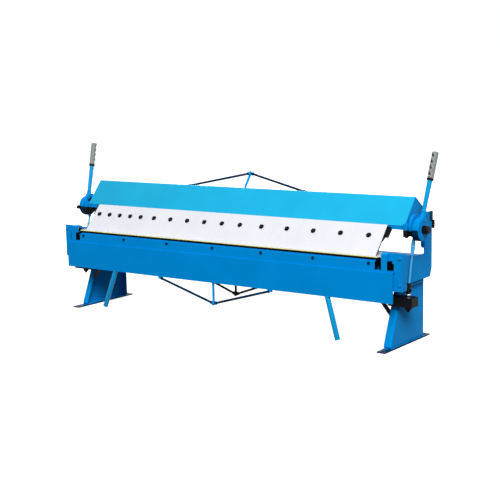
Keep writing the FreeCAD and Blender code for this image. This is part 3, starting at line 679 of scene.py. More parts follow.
class BrakeFinish(bpy.types.PropertyGroup):
    """Colours of the machine's finishes."""

    paint: colour_setting("Paint", "Enamel of the frame, the apron and the hubs", "008CD9")
    # Lighter blue along edges: partly thin paint, partly painted highlight.
    paint_edge_wear_and_highlight: colour_setting("Thin paint and edge highlight", "Enamel where it is thin at the edges, and painted highlight there", "4DB4E6")
    # The roof's blue is made paler as painted light on its upward slopes.
    roof_paint: colour_setting("Roof painted light", "Enamel of the clamping beam's roof, paler as painted light", "20ACD8")
    # The tubes' blue is made lighter as painted light.
    lever_paint: colour_setting(
        "Lever paint", "Enamel of the lever tubes and the apron's handles", "0496CE"
    )
    link_paint: colour_setting("Link paint", "Pale enamel of the links", "48A6D8")
    # The frame's blue darkened as painted shade, for the tie rods, the foot plates, the apron's
    # bolts and the hubs' lower halves.
    tie_paint: colour_setting(
        "Tie paint", "Blue darkened as painted shade on the tie rods, the feet and the hubs' lower halves", "052A4C"
    )
    steel: colour_setting("Ground steel", "Fingers and blades", "DFE0E7")
    straw: colour_setting(
        "Hardened edge", "Straw tint along the front edge of the apron's blade", "EFE874"
    )
    oxide: colour_setting("Blackened steel", "Bolts, bearings, anchors and shafts", "0B0C10")
    zinc: colour_setting("Zinc plate", "Nuts on top of the anchor bars", "C3CBD2")
    bronze: colour_setting("Bronze", "Bushes of the apron's hinges", "B08A4E")
    grip: colour_setting("Grip", "Moulded grips of the clamp levers", "7F857F")
    rubber: colour_setting("Rubber", "Finger grooves and collars of the grips", "141416")
    floor: colour_setting("Floor", "Paper sweep that the machine stands on", "FFFFFF")


class BrakeSizes(bpy.types.PropertyGroup):
    """Sizes of the finishing details."""

    edge: length_setting("Broken edge", "Radius of the edges of sawn and flame-cut plates", 1.2)
    fine_edge: length_setting("Stoned edge", "Radius of the edges of ground blades", 0.5)
    bend: length_setting("Sheet bend", "Outer radius of the folds in the legs and the roof", 12.0)
    weld: length_setting("Weld", "Radius of the weld beads", 3.5)
    thread: length_setting("Thread pitch", "Pitch of the threads on rods and eye bolts", 2.5)


made_materials = {}


def finish(name):
    """Material of a finish, made the first time it is asked for."""
    if name not in made_materials:
        held = bpy.context.scene.brake_finish
        colours = {key: getattr(held, key)[:] for key in BrakeFinish.__annotations__}
        make, title, *values = finishes(colours)[name]
        made_materials[name] = make(title, *values)
    return made_materials[name]


def finishes(colours):
    """Each finish in the colours of the settings: its maker, the material's name, the rest."""
    paint, edge_wear_and_highlight, oxide, steel = (colours[key] for key in ("paint", "paint_edge_wear_and_highlight", "oxide", "steel"))
    link, tie, rubber = (colours[key] for key in ("link_paint", "tie_paint", "rubber"))
    drawn = "blue enamel, sprayed on drawn tube"
    # Near black sides and back of the fingers, and a painted shadow along the foot of the apron's
    # blade.
    dark_sides = (oxide, FINGER_OUTWARD, FINGER_NOSE)
    painted_shadow_foot = (oxide, UP, (0.0, 0.0, 579.4))
    straw_edge = (colours["straw"], -256.2, -255.4)
    looks = {
        "enamel": (sprayed_enamel, "blue enamel, sprayed", paint, edge_wear_and_highlight),
        # Roof: the blue made paler as painted light.
        "roof": (sprayed_enamel, "pale blue enamel, sprayed", colours["roof_paint"], edge_wear_and_highlight),
        "link": (sprayed_enamel, "sky blue enamel, sprayed", link, link),
        # The blue darkened as painted shade, its edges lighter in the frame's blue.
        "tie": (sprayed_enamel, "deep blue enamel, sprayed", tie, paint),
        # Tube: the blue made lighter as painted light, with more gloss.
        "tube": (sprayed_enamel, drawn, colours["lever_paint"], edge_wear_and_highlight, None, 0.24, 0.4),
        "ground": (ground_plate, "tool steel, ground", steel),
        "fingers": (ground_plate, "tool steel, ground fingers", steel, None, dark_sides),
        "blade": (ground_plate, "tool steel, ground blade", steel, straw_edge, painted_shadow_foot),
        "oxide": (oxide_steel, "steel, blackened", oxide, linear("8A8D92")),
        "zinc": (plated_steel, "steel, zinc plated", colours["zinc"]),
        "bronze": (turned_bronze, "bronze, turned", colours["bronze"]),
        "grip": (moulded_grip, "PVC, moulded", colours["grip"], rubber),
        "rubber": (oxide_steel, "rubber, moulded", rubber, rubber, 0.6),
        "paper": (white_paper, "paper, matt", colours["floor"]),
    }
    for look, (words, colour, *boxes) in PATCHES.items():
        title = "blue enamel, sprayed, " + words
        looks[look] = (sprayed_enamel, title, paint, edge_wear_and_highlight, (colours[colour], *boxes))
    return looks


def size(name):
    """A detail's size in millimetres."""
    return getattr(bpy.context.scene.brake_sizes, name) / MM


# Operators: one for the stage, and one for each piece or group of like pieces


class BRAKE_OT_stage(bpy.types.Operator):
    """Put up the paper floor, the studio light and the camera"""

    bl_idname = "brake.stage"
    bl_label = "Stage"

    def execute(self, context):
        self.floor(context)
        self.world(context)
        self.lamps(context)
        self.camera(context)
        context.scene.view_settings.view_transform = "Standard"
        return {"FINISHED"}

    def floor(self, context):
        """Plain square of paper under the feet."""
        half = 40.0
        mesh = bpy.data.meshes.new("paper_floor")
        corners = np.array([(-1, -1, 0), (1, -1, 0), (1, 1, 0), (-1, 1, 0)]) * half
        mesh.from_pydata(corners, [], [(0, 1, 2, 3)])
        mesh.materials.append(finish("paper"))
        made = bpy.data.objects.new("paper_floor", mesh)
        context.scene.collection.objects.link(made)

    def world(self, context):
        """White all round to the eye and in reflections; a soft sky as light."""
        world = bpy.data.worlds.new("studio")
        context.scene.world = world
        world.use_nodes = True
        tree = world.node_tree
        tree.nodes.clear()
        rays = add_node(tree, "ShaderNodeLightPath").outputs
        white, sky = (
            add_node(tree, "ShaderNodeBackground", {"Color": (1.0,) * 4, "Strength": strength})
            for strength in (1.0, 0.27)
        )
        seen = maths(tree, "MAXIMUM", rays["Is Camera Ray"], rays["Is Transmission Ray"])
        seen = maths(tree, "MAXIMUM", seen, rays["Is Glossy Ray"])
        whole = blended(tree, seen, sky, white)
        add_node(tree, "ShaderNodeOutputWorld", {"Surface": whole.outputs[0]})

    def lamps(self, context):
        """Wide softbox high in front at the right, and a weaker one behind at the left."""
        aim = Vector((0.0, 0.0, 0.6))
        for name, place, side, power in (
            ("softbox_front", (11.4, -14.2, 16.1), 12.0, 6850.0),
            ("softbox_back", (-6.0, 7.0, 6.0), 4.0, 800.0),
        ):
            lamp = bpy.data.lights.new(name, "AREA")
            lamp.shape = "RECTANGLE"
            lamp.size = lamp.size_y = side
            lamp.energy = power
            made = bpy.data.objects.new(name, lamp)
            made.location = place
            made.rotation_euler = (aim - Vector(place)).to_track_quat("-Z", "Y").to_euler()
            made.visible_camera = False
            context.scene.collection.objects.link(made)

    def camera(self, context):
        """Camera at the photograph's place: turned to the left and a little down."""
        yaw, pitch, roll = np.radians((36.36, 8.98, -1.15))
        right = np.array([math.cos(yaw), math.sin(yaw), 0])
        ahead = np.array([-math.sin(yaw), math.cos(yaw), 0])
        forward = ahead * math.cos(pitch) - UP * math.sin(pitch)
        above = np.cross(right, forward)
        across = math.cos(roll) * right + math.sin(roll) * above
        upward = -math.sin(roll) * right + math.cos(roll) * above
        lens = bpy.data.cameras.new("photo_camera")
        lens.lens = 77.5
        lens.sensor_width = 36.0
        lens.clip_end = 200.0
        made = bpy.data.objects.new("photo_camera", lens)
        turn = Matrix(np.column_stack([across, upward, -forward]).tolist())
        made.matrix_world = Matrix.Translation((4.4185, -5.8531, 1.6500)) @ turn.to_4x4()
        context.scene.collection.objects.link(made)
        context.scene.camera = made


class BRAKE_OT_roof(bpy.types.Operator):
    """Make the folded roof sheet of the clamping beam and finish the beam's plates"""

    bl_idname = "brake.roof"
    bl_label = "Roof of the clamping beam"

    def execute(self, context):
        low, high = corners_of("beam_roof")
        ridge = np.array([low[1] + RIDGE_SET_BACK, high[2]])
        front = np.array([low[1], low[2]])
        rear = np.array([high[1], low[2]])
        inner = self.inner_line(front, rear, ridge)
        upward = unit(ridge - front)
        lip = front - upward * 5
        behind_lip = lip + np.array([upward[1], -upward[0]]) * SHEET
        corners = [lip, behind_lip, inner[1], inner[2], rear, ridge]
        bend, sawn = size("bend"), 0.9
        outline = rounded(corners, [sawn, sawn, bend - SHEET, sawn, sawn, bend], 7)
        rows = soft_rims(high[0] - low[0], 0.6)
        sheet = carried(outline, rows, ALONG * low[0], BACK, UP)
        # The roof sheet takes the blue made paler as painted light.
        make_piece("roof_sheet", "clamp_beam", "roof", [sheet], ["beam_roof"])
        under = [[high[0], y, z] for y, z in inner]
        foot = [[high[0], low[1] + 4, low[2]], [high[0], high[1] - 4, low[2]]]
        seams = []
        for run, share in ((under, 0.6), (foot, 0.5)):
            seams += both_ends([weld_bead(run, size("weld") * share, ALONG)])
        make_piece("beam_welds", "clamp_beam", "enamel", seams)
        plates = ("base_plate", "end_plate_left", "end_plate_right", "pivot_pins")
        keep_nodes({"beam_" + name: "enamel" for name in plates}, size("edge"))
        return {"FINISHED"}

    def inner_line(self, front, rear, ridge):
        """Line of the roof's inner face: both slopes moved in by the sheet."""
        front_angle = math.atan2(ridge[1] - front[1], ridge[0] - front[0])
        rear_angle = math.atan2(ridge[1] - rear[1], rear[0] - ridge[0])
        start = front + [SHEET / math.sin(front_angle), 0]
        end = rear - [SHEET / math.sin(rear_angle), 0]
        share = (end[0] - start[0]) / (rear[0] - front[0])
        return [start, start + (ridge - front) * share, end]


class BRAKE_OT_bearings(bpy.types.Operator):
    """Make the split bearings of the lever shafts, with the bolts of their caps"""

    bl_idname = "brake.bearings"
    bl_label = "Shaft bearings"

    def execute(self, context):
        low, high = corners_of("shaft_bearing_right")
        shaft = joint_place("lever_swing_right")
        rows = soft_rims(high[0] - low[0], 1.0)
        split = 0.2
        cap, seat = (
            carried(self.half(low[1], high[1], *ends, shaft[1:]), rows, ALONG * low[0], BACK, UP)
            for ends in ((low[2], shaft[2] - split), (shaft[2] + split, high[2]))
        )
        middle = (low[0] + high[0]) / 2
        places = (low[1] + 22, high[1] - 18)
        bolts = [bolt(np.array([middle, y, low[2]]), -UP, *M12, grip=30) for y in places]
        for end in ENDS:
            make_at(end, "bearing_seat", "clamp_beam", "enamel", [seat], "shaft_bearing")
            make_at(end, "bearing_cap", "clamp_beam", "oxide", [cap] + bolts)
        return {"FINISHED"}

    def half(self, front, rear, bottom, top, shaft, bore=25.3):
        """Outline of one half: a block with rounded corners and a half-round bore.

        A point of the bore is shaft + bore * (cos t, sin t), on the half's own side of the split.
        """
        corners = [(front, bottom), (rear, bottom), (rear, top), (front, top)]
        steps = 5
        points, away = rounded(corners, 1.5, steps)
        below = abs(top - shaft[1]) < abs(bottom - shaft[1])
        turn = np.linspace(0, -math.pi, 25) if below else np.linspace(math.pi, 0, 25)
        round_way = np.stack([np.cos(turn), np.sin(turn)], axis=1)
        arc = np.array([shaft[0], top if below else bottom]) + bore * round_way
        place = 3 * steps if below else steps
        return np.insert(points, place, arc, axis=0), np.insert(away, place, -round_way, axis=0)


class BRAKE_OT_fingers(bpy.types.Operator):
    """Finish the ground fingers, their seat bar and the blades"""

    bl_idname = "brake.fingers"
    bl_label = "Fingers and blades"

    def execute(self, context):
        keep_nodes({"fingers_" + width: "fingers" for width in ("narrow", "medium", "wide")})
        keep_nodes({"finger_seat_bar": "oxide"}, size("edge"))
        keep_nodes({"bed_blade": "ground", "apron_blade": "blade"}, size("fine_edge"))
        return {"FINISHED"}


class BRAKE_OT_bolts(bpy.types.Operator):
    """Make the hexagon bolts of the fingers, the apron and the hinge blocks"""

    bl_idname = "brake.bolts"
    bl_label = "Hexagon bolts"

    def execute(self, context):
        self.finger_bolts()
        self.apron_bolts()
        self.block_bolts()
        return {"FINISHED"}

    def finger_bolts(self):
        """One bolt in the middle of each finger, square to its sloping face."""
        outward = FINGER_OUTWARD
        middles = np.cumsum(FINGER_WIDTHS) - FINGER_WIDTHS / 2 - FINGER_WIDTHS.sum() / 2
        seats = [FINGER_NOSE + FINGER_UP * FINGER_BOLT_PLACE + ALONG * x for x in middles]
        bolts = [bolt(seat, outward, *M16, grip=28) for seat in seats]
        rings = [washer(seat - outward * 0.4, outward, 17.5, 2.4, 8.2) for seat in seats]
        make_piece("finger_bolt_heads", "clamp_beam", "oxide", bolts, ["finger_bolts"])
        make_piece("finger_bolt_washers", "clamp_beam", "oxide", rings)

    def apron_bolts(self):
        """Seven bolts along the apron's edge band.

        Known fault: their washers have no size. BACK, beside which washer() starts, runs along
        their axis here, so their points have no place and all end up at the frame's origin.
        """
        low, high = corners_of("apron_edge_band")
        pitch, drop = 400.0, 11
        seats = [np.array([x, low[1], high[2] - drop]) for x in (np.arange(7) - 3) * pitch]
        bolts = [bolt(seat - BACK * 1.6, -BACK, *M12_LOW, grip=32) for seat in seats]
        bolts += [washer(seat, -BACK, 13, 2, 6.2) for seat in seats]
        # The heads take the blue darkened as painted shade.
        make_piece("apron_bolt_heads", "apron", "tie", bolts, ["apron_bolts"])

    def block_bolts(self):
        """Two bolts at the outside of each hinge block and one at its inside."""
        low, high = corners_of("hinge_block_right")
        outer, inner, foot = high[0] - 14, low[0] + 27, low[2] + 40
        seats = [(outer, high[2] - 30), (outer, foot), (inner, foot)]
        bolts = [bolt(np.array([x, low[1], z]), -BACK, *M12, grip=30) for x, z in seats]
        make_piece(
            "block_bolt_heads", "frame", "enamel", both_ends(bolts), ["hinge_block_bolts"]
        )


class BRAKE_OT_levers(bpy.types.Operator):
    """Make the eccentric shafts, cast hubs, tubes and grips of both clamp levers"""

    bl_idname = "brake.levers"
    bl_label = "Clamp levers"

    def execute(self, context):
        root = joint_place("lever_swing_right")
        outward, back = math.radians(4.1), math.radians(16)
        way = unit([math.tan(outward), math.tan(back), 1])
        for end in ENDS:
            self.shaft(end, root)
            self.hub(end, root, way)
            self.tube(end, root, way)
            self.grip(end, root, way)
        self.lock_screw(root)
        return {"FINISHED"}

    def lock_screw(self, root):
        """Long-headed screw in the rim of the left hub, which locks it on its shaft."""
        standing = 10.0
        seat = root + ALONG * 10 - BACK * (HUB_RADIUS + standing) - UP * 3
        screw = bolt(seat, -BACK, *LOCK_SCREW, grip=standing + 12)
        make_piece("lever_lock_screw", "lever_left", "oxide", [mirrored(screw)])

    def shaft(self, end, root):
        """Turned shaft with a centre hole, and the eccentric disc on it."""
        low, high = corners_of("eccentric_shaft_right")
        start = np.array([low[0], root[1], root[2]])
        length = high[0] - low[0]
        profile = [(23, 0), (25, 2), (25, length - 9), (24.2, length - 8), (24.2, length - 2)]
        profile += [(22, length), (6, length), (0.6, length - 6)]
        disc_inner = 1363
        disc_middle = np.array([disc_inner, *(low[1:] + high[1:]) / 2])
        disc = chamfered(44, 1, 0, STRAP_WIDTH)
        shells = [turned(profile, start, ALONG), turned(disc, disc_middle, ALONG, sides=64)]
        make_at(end, "lever_shaft", "lever_" + end, "oxide", shells, "eccentric_shaft")

    def hub(self, end, root, way):
        """Cast drum with rounded rims and a neck that flares into it.

        With the share (114 - s) / 62 at a distance s from the shaft, the neck's half widths are
        14.5 + 36 * share ** 2.2 in the plane of the swing, and 14.5 + 7 * share across it.
        """
        inner = corners_of("lever_hub_right")[0][0]
        width, rim, bore = 44.0, 7.0, 25.2
        inset, rise = soft_rims(width, rim, 6).T
        profile = [(bore, 0), *zip(HUB_RADIUS - inset, rise)]
        profile += [(36, width), (35, width + 1.2), (27, width + 1.2), (bore, width)]
        drum = turned(profile, np.array([inner, *root[1:]]), ALONG, sides=96, ring=True)
        reach = np.linspace(50, 114, 22)[:, None]
        share = np.clip((114 - reach) / 62, 0, 1)
        deep = 14.5 + 36 * share**2.2
        wide = 14.5 + 7 * share
        first, second, last = axes(way, ALONG)
        angle = turns(40)
        neck = (
            root
            + reach[..., None] * last
            + (wide * np.cos(angle))[..., None] * first
            + (deep * np.sin(angle))[..., None] * second
        )
        shells = [drum, skin(neck)]
        # The hub's lower half carries painted shade in deep blue.
        make_at(end, "lever_hub_cast", "lever_" + end, "hub", shells, "lever_hub", sharp=40)

    def tube(self, end, root, way):
        """Tapered lever tube with the weld at its foot."""
        profile = [(13.5, 78), (14.0, 130), (15.6, 316), (15.6, 321)]
        weld = [(13.4, 110), (16.4, 111.5), (17.2, 114), (16.2, 116.5), (13.4, 119)]
        shells = [turned(line, root, way, sides=32) for line in (profile, weld)]
        make_at(end, "lever_tube_drawn", "lever_" + end, "tube", shells, "lever_tube")

    def grip(self, end, root, way):
        """Grip with four finger grooves, and its collar.

        A point's distance from the axis is the grip's radius, drawn in at both ends by a round,
        and where a groove passes no more than (27 - sqrt(14 ** 2 - d ** 2)) / cos(angle from
        the grooves), with d the distance along the grip from the groove's middle. The grips are
        pressed on as they come: the grooves of the right one turn in and forward, those of the
        left one in and back.
        """
        start, stop, radius, cap = 318.0, 484.0, 20.0, 6.0
        groove, groove_radius, far = 27, 14, 99.0
        middles = 342.0 + 38.0 * np.arange(4)
        fall = cap * (1 - np.cos(np.linspace(0, math.pi / 2, 6)))
        straight = np.linspace(start, stop, 97)
        along = np.unique(np.concatenate([straight, start + fall, stop - fall]))[:, None]
        short = np.clip(cap - np.minimum(along - start, stop - along), 0, cap)
        whole = radius - cap + np.sqrt(cap**2 - short**2)
        toward = {"right": (-0.56, -0.83, 0), "left": (-0.81, 0.59, 0)}[end]
        first, second, last = axes(way, np.array(toward))
        gap = np.abs(along - middles).min(axis=1, keepdims=True)
        dip = np.sqrt(np.clip(groove_radius**2 - gap**2, 0, None))
        sink = np.where(gap < groove_radius, groove - dip, far)
        reach = np.minimum(whole, sink / np.clip(np.cos(turns(64)), 0.02, 1))
        inlay = np.clip((whole - reach) / 1.2, 0, 1).ravel()
        ways = around(64, first, second)
        shell = skin(root + along[..., None] * last + reach[..., None] * ways)
        body = "lever_" + end
        made = make_at(end, "lever_grip_moulded", body, "grip", [shell], "lever_grip", sharp=50)
        mark = made.data.attributes.new("inlay", "FLOAT", "POINT")
        mark.data.foreach_set("value", inlay.astype(np.float32))
        collar = [(17, start - 12), *chamfered(21.5, 1, start - 12, start), (17, start)]
        make_at(end, "lever_collar", body, "rubber", [turned(collar, root, way, sides=40)])


class BRAKE_OT_links(bpy.types.Operator):
    """Make the straps, rods and clevises that tie the eccentrics to the legs"""

    bl_idname = "brake.links"
    bl_label = "Links"

    def execute(self, context):
        low, high = corners_of("link_strap_right")
        eye = joint_place("link_tilt_right")
        centre = np.array([eye[0], (low[1] + high[1]) / 2, high[2] - STRAP_RADIUS])
        way = unit((centre - eye) * [0, 1, 1])
        for end in ENDS:
            self.strap(end, centre, way)
            self.turnbuckle(end, centre, way)
            self.rod(end, centre, eye, way)
            self.clevis(end, eye, way)
        return {"FINISHED"}

    def strap(self, end, centre, way):
        """Ring round the eccentric, and the neck below it."""
        inner = centre - ALONG * STRAP_WIDTH / 2
        ring = washer(inner, ALONG, STRAP_RADIUS, STRAP_WIDTH, 48, 1.5, 80)
        profile = [(8, -84), (8.5, -76), (14, -66), (14, -60)]
        neck = turned(profile, centre, way, ALONG, sides=32)
        # The strap's lower half is blackened, partly as painted shade.
        make_at(end, "link_strap_forged", "link_" + end, "strap", [ring, neck], "link_strap")

    def turnbuckle(self, end, centre, way):
        """Turnbuckle below the strap: two turned bosses joined by two bars, and a lock nut.

        A bar's distance from the axis is 8 + 1.5 * sin(pi * share of its length).
        """
        shells = []
        for low in (-BUCKLE_TOP - BUCKLE_BOSS, -BUCKLE_FOOT):
            boss = chamfered(11, 2, low, low + BUCKLE_BOSS)
            shells.append(turned(boss, centre, way, ALONG, sides=32))
        share = np.linspace(0, 1, 15)
        along = -160 + 66 * share
        beside = unit([0.81, 0.59, 0])
        square = unit(np.cross(way, beside))
        for hand in (-1, 1):
            out = hand * (8 + 1.5 * np.sin(math.pi * share))
            path = centre + along[:, None] * way + out[:, None] * beside
            shells.append(swept(path, 4.2, square, 14))
        shells.append(nut(centre - way * (BUCKLE_FOOT + 12), way, 21, 12, 6.5))
        make_at(end, "link_turnbuckle", "link_" + end, "link", shells)

    def rod(self, end, centre, eye, way):
        """Rod with threads in the clevis and through both bosses of the turnbuckle."""
        reach = np.linalg.norm((centre - eye) * [0, 1, 1])
        length = reach - BUCKLE_FOOT
        shells = [turned(chamfered(7, 1, 36, length - 39), eye, way, ALONG, sides=24)]
        for start, stop in ((34, 54), (length - 42, length + 46), (reach - 125, reach - 80)):
            shells.append(threaded(7.0, size("thread"), 0.9, start, stop, eye, way, ALONG))
        make_at(end, "link_rod_drawn", "link_" + end, "link", shells, "link_rod")

    def clevis(self, end, eye, way):
        """Fork on the eye bolt's pin: two cheeks, a bridge between them and a boss."""
        cheek, gap, half, throat, stop = 9.0, 10.05, 16, 22.0, 38.0
        sideways = -np.cross(way, ALONG)
        corners = [(-half, -half), (half, -half), (half, stop), (-half, stop)]
        outline = rounded(corners, [15.9, 15.9, 5, 5], 9)
        rows = soft_rims(cheek, 0.8)
        shells = [
            carried(outline, rows, eye + ALONG * start, sideways, way)
            for start in (-gap - cheek, gap)
        ]
        outline = rounded([(-half, throat), (half, throat), (half, stop), (-half, stop)], 2)
        rows = soft_rims(2 * gap + 2, 0.5)
        shells.append(carried(outline, rows, eye - ALONG * (gap + 1), sideways, way))
        boss = [(13, 35), (13, 43), (11.5, 45), (8, 45)]
        shells.append(turned(boss, eye, way, ALONG, sides=32))
        make_at(end, "link_clevis", "link_" + end, "oxide", shells)


class BRAKE_OT_anchors(bpy.types.Operator):
    """Make the eye bolts with their nuts, washers and pins, and finish the anchor bars"""

    bl_idname = "brake.anchors"
    bl_label = "Link anchors"

    def execute(self, context):
        keep_nodes({"link_anchor_left": "oxide", "link_anchor_right": "oxide"}, edge=1.6)
        eye = joint_place("link_tilt_right")
        self.eye_bolts(eye, corners_of("link_eye_bolts")[0][2])
        low, high = corners_of("link_anchor_right")
        self.fasteners(eye, low[2], high[2])
        return {"FINISHED"}

    def eye_bolts(self, eye, tip):
        """Forged eye on a threaded shank."""
        ring = [(7, 0.8), (8, 0), (18, 0), (20, 2), (20, 18), (18, 20), (8, 20), (7, 19.2)]
        head = turned(ring, eye - ALONG * 10, ALONG, sides=48, ring=True)
        foot = np.array([*eye[:2], tip])
        reach = eye[2] - tip
        neck = [(9, reach - 40), (10, reach - 39), (10, reach - 24)]
        neck += [(12, reach - 18), (12, reach - 15)]
        shank = turned(neck, foot, UP, sides=32)
        screw = threaded(10.0, size("thread"), 1.3, 0, reach - 37, foot, UP)
        shells = both_ends([head, shank, screw])
        make_piece("eye_bolts_forged", "frame", "oxide", shells, ["link_eye_bolts"])

    def fasteners(self, eye, bottom, top):
        """Washer and nut above and below each bar, and the clevis pin with its chamfers."""
        foot = np.array([*eye[:2], bottom])
        head = np.array([*eye[:2], top])
        half, thick = 22.05, 3
        dark = [
            washer(foot, -UP, 20, thick, 10.2),
            nut(foot - UP * thick, -UP, 36, 24, 9.4),
            washer(head, UP, 20, thick, 10.2),
            turned(chamfered(7, 1, -half, half), eye, ALONG, sides=32),
        ]
        make_piece("anchor_foot_nuts", "frame", "oxide", both_ends(dark), ["link_fasteners"])
        pale = nut(head + UP * thick, UP, 26, 12, 9.4)
        make_piece("anchor_head_nuts", "frame", "zinc", both_ends([pale]))


class BRAKE_OT_bed(bpy.types.Operator):
    """Finish the bed, the side plates, the hinge blocks and the adjusting screws"""

    bl_idname = "brake.bed"
    bl_label = "Bed and sides"

    def execute(self, context):
        # The block finish holds painted shade in the recesses beside the hinge ears.
        plates = {
            "bed_front_plate": "block",
            "bed_rear_plate": "enamel",
            "bed_bottom_plate": "enamel",
            "bed_top_plate": "block",
            "side_plate_left": "enamel",
            "side_plate_right": "enamel",
            "hinge_block_left": "block",
            "hinge_block_right": "block",
            "bed_nose_bar": "oxide",
        }
        keep_nodes(plates, size("edge"))
        keep_nodes({"hinge_pins": "oxide"}, edge=1.5)
        keep_nodes({"adjusting_screws": "oxide"}, edge=0.8)
        return {"FINISHED"}


class BRAKE_OT_apron(bpy.types.Operator):
    """Finish the bending leaf and its hinges"""

    bl_idname = "brake.apron"
    bl_label = "Apron"

    def execute(self, context):
        # The ear, band and nose finishes hold painted shade round the hinge ears and under the
        # blade.
        plates = {
            "apron_plate": "enamel",
            "apron_edge_band": "band",
            "apron_stiffener": "enamel",
            "apron_ear_left": "ear",
            "apron_ear_right": "ear",
            "apron_nose_bar": "nose",
        }
        keep_nodes(plates, size("edge"))
        keep_nodes({"hinge_bushes": "bronze"}, edge=0.6)
        return {"FINISHED"}


class BRAKE_OT_handles(bpy.types.Operator):
    """Make the two tube handles under the apron, with their welds"""

    bl_idname = "brake.handles"
    bl_label = "Apron handles"

    def execute(self, context):
        top = np.array([903.0, -271.0, 297.0])
        foot = np.array([989.0, -296.0, 44.0])
        shells = self.tube(top, foot, corners_of("apron_plate")[0][2], size("weld"))
        for end in ENDS:
            # The handles take the tube blue made lighter as painted light.
            make_at(end, "apron_handle_tube", "apron", "tube", shells, "apron_handle")
        return {"FINISHED"}

    def tube(self, top, foot, edge, weld):
        """Tube cut level with the apron's edge: each line of its wall runs from the rounded
        foot up to the height of that edge. The weld is a bead round the cut."""
        radius, wall, rim, count = 16.85, 3.2, 1.2, 40
        first, second, last = axes(top - foot, BACK)
        ways = around(count, first, second)
        rows = []
        for reach, lift in (
            (radius - wall, rim),
            (radius - wall / 2, 0.0),
            (radius - 0.4, 0.4),
            (radius, rim),
            (radius, None),
            (radius - wall, None),
        ):
            base = foot + reach * ways
            climb = np.full(count, lift) if lift is not None else (edge - base[:, 2]) / last[2]
            rows.append(base + climb[:, None] * last)
        loop = rows[4]
        outward = unit(loop - loop.mean(axis=0))
        ripple = 1 + 0.12 * np.abs(np.sin(turns(count) * 9))
        turn = turns(8)[:, None, None]
        bead = loop + weld * ripple[:, None] * (np.cos(turn) * outward - np.sin(turn) * UP)
        return [skin(np.array(rows), ring=True), skin(bead, ring=True)]


class BRAKE_OT_ties(bpy.types.Operator):
    """Make the tie rods with their struts over the roof, under the bed and under the apron"""

    bl_idname = "brake.ties"
    bl_label = "Tie rods"

    def execute(self, context):
        lug_radius = 16.0
        # The apron's tie bars take the blue darkened as painted shade.
        for name, body, look, rod_look, height, half_span in (
            ("apron_tie", "apron", "enamel", "tie", 142.0, 472.0),
            ("bed_tie", "frame", "oxide", "oxide", 186.0, 506.0),
        ):
            high = corners_of(name + "_rods")[1]
            root = np.array([0, high[1] - lug_radius, high[2]])
            self.truss(name, body, look, rod_look, root, -UP, height, half_span)
        low, high = corners_of("beam_roof")
        slope = math.atan2(high[2] - low[2], high[1] - low[1] - RIDGE_SET_BACK)
        set_back = 167.0
        drop = math.tan(slope) * (set_back - RIDGE_SET_BACK)
        root = np.array([0, low[1] + set_back, high[2] - drop])
        away = np.array([0, math.sin(slope), math.cos(slope)])
        # The beam's tie bars also take the blue darkened as painted shade.
        self.truss("beam_tie", "clamp_beam", "enamel", "tie", root, away, 134.0, 506.0)
        return {"FINISHED"}

    def truss(self, name, body, look, rod_look, root, away, height, half_span):
        """Two rods from lugs to the boss on a turned strut, with nuts at the boss."""
        apex = root + away * height
        across = unit(np.cross(away, ALONG))
        strut = [(13, -1), (13, 3), (9, 6), (8, 14), (8, height - 22)]
        strut += [(9.5, height - 18), (9.5, height - 2)]
        shells = [
            turned(chamfered(12, 1.5, -11, 11), apex, across, ALONG, sides=40),
            turned(strut, root, away, ALONG, sides=28),
        ]
        lug = [(11, 0), (12, 1), (12, 13.5), (10.5, 15)]
        pitch = size("thread")
        rods = []
        for out in (-half_span, half_span):
            foot = root + ALONG * out
            shells.append(turned(lug, foot, away, ALONG, sides=32))
            middle = foot + away * 8
            way = unit(apex - middle)
            reach = np.linalg.norm(apex - middle)
            rod = [(8, 6), (8, reach - 62), (7.2, reach - 60), (7.2, reach - 8)]
            rods += [
                turned(rod, middle, way, across, sides=20),
                threaded(8.0, pitch, 1.0, reach - 60, reach - 12, middle, way, across, 16),
                nut(middle + way * (reach - 26), way, 21, 11, 6.2, across),
                nut(middle + way * 14, way, 21, 9, 6.2, across),
            ]
        make_piece(name + "_strut", body, look, shells, [name + "_rods"])
        make_piece(name + "_bars", body, rod_look, rods)


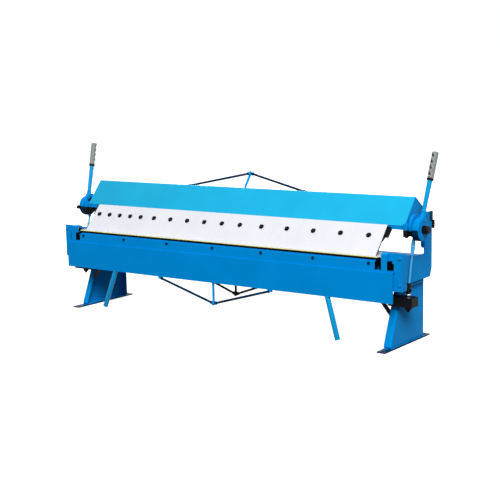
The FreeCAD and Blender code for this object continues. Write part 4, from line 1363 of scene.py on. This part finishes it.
class BRAKE_OT_legs(bpy.types.Operator):
    """Make the folded legs, and finish their feet, braces and welds"""

    bl_idname = "brake.legs"
    bl_label = "Legs"

    def execute(self, context):
        low, high = corners_of("leg_right")
        head_front = low[1] + math.tan(LEG_LEAN) * (high[2] - low[2])
        foot = [(low[1], low[2]), (high[1], low[2])]
        corners = foot + [(high[1], high[2]), (head_front, high[2])]
        # From the web out over the fold to the flange's cut edge, and back on the inner side.
        bend, rim, steps = size("bend"), 1.0, 7
        depth = high[0] - low[0]
        outer = soft_rims(depth, bend, steps)[steps:][::-1]
        cut = [(0, rim), (rim, 0), (SHEET - rim, 0), (SHEET, rim)]
        inner = soft_rims(depth - SHEET, bend - SHEET, steps)[steps:] + [SHEET, 0]
        rows = np.vstack([outer, cut, inner])
        tray = carried(rounded(corners, bend + 1, 8), rows, ALONG * low[0], BACK, UP, flip=True)
        for end in ENDS:
            make_at(end, "leg_folded", "frame", "enamel", [tray], "leg")
        # The foot plates take the blue darkened as painted shade.
        looks = {"foot_plate_left": "tie", "foot_plate_right": "tie", "leg_braces": "oxide"}
        keep_nodes(looks, edge=1.0)
        self.welds(low, high, head_front)
        return {"FINISHED"}

    def welds(self, low, high, head_front):
        """Beads at the foot and the head of each leg, and behind each side plate's flange."""
        outer = high[0] - 2
        flange = corners_of("side_plate_right")[0][0] + 12
        head_rear = 168.0
        flange_rear, flange_foot, flange_head = -175.0, 398.0, 592.0
        weld = size("weld")
        runs = [
            weld_bead(corners, weld, beside)
            for corners, beside in (
                ([(outer, low[1] + 10, low[2]), (outer, high[1] - 8, low[2])], UP),
                ([(low[0] + 2, low[1], low[2]), (high[0] - 12, low[1], low[2])], UP),
                ([(outer, head_front + 6, high[2]), (outer, head_rear, high[2])], UP),
                ([(flange, flange_rear, flange_foot), (flange, flange_rear, flange_head)], ALONG),
            )
        ]
        make_piece("frame_welds", "frame", "enamel", both_ends(runs))


class BRAKE_PT_pieces(bpy.types.Panel):
    """Pieces and finishes of the brake"""

    bl_idname = "BRAKE_PT_pieces"
    bl_label = "Box and pan brake"
    bl_space_type = "VIEW_3D"
    bl_region_type = "UI"
    bl_category = "Brake"

    def draw(self, context):
        column = self.layout.column()
        for operator in operators:
            column.operator(operator.bl_idname)
        for held in (context.scene.brake_finish, context.scene.brake_sizes):
            for name in held.bl_rna.properties.keys():
                if name not in ("rna_type", "name"):
                    column.prop(held, name)


operators = (
    BRAKE_OT_stage,
    BRAKE_OT_roof,
    BRAKE_OT_bearings,
    BRAKE_OT_fingers,
    BRAKE_OT_bolts,
    BRAKE_OT_levers,
    BRAKE_OT_links,
    BRAKE_OT_anchors,
    BRAKE_OT_bed,
    BRAKE_OT_apron,
    BRAKE_OT_handles,
    BRAKE_OT_ties,
    BRAKE_OT_legs,
)


def register():
    """Add the classes and the settings to Blender."""
    for kind in (BrakeFinish, BrakeSizes, *operators, BRAKE_PT_pieces):
        bpy.utils.register_class(kind)
    bpy.types.Scene.brake_finish = bpy.props.PointerProperty(type=BrakeFinish)
    bpy.types.Scene.brake_sizes = bpy.props.PointerProperty(type=BrakeSizes)


def unregister():
    """Take the classes and the settings out again."""
    del bpy.types.Scene.brake_sizes
    del bpy.types.Scene.brake_finish
    for kind in reversed((BrakeFinish, BrakeSizes, *operators, BRAKE_PT_pieces)):
        bpy.utils.unregister_class(kind)


def main():
    """Make every piece in order."""
    register()
    for operator in operators:
        group, name = operator.bl_idname.split(".")
        getattr(getattr(bpy.ops, group), name)()


if __name__ == "__main__":
    main()
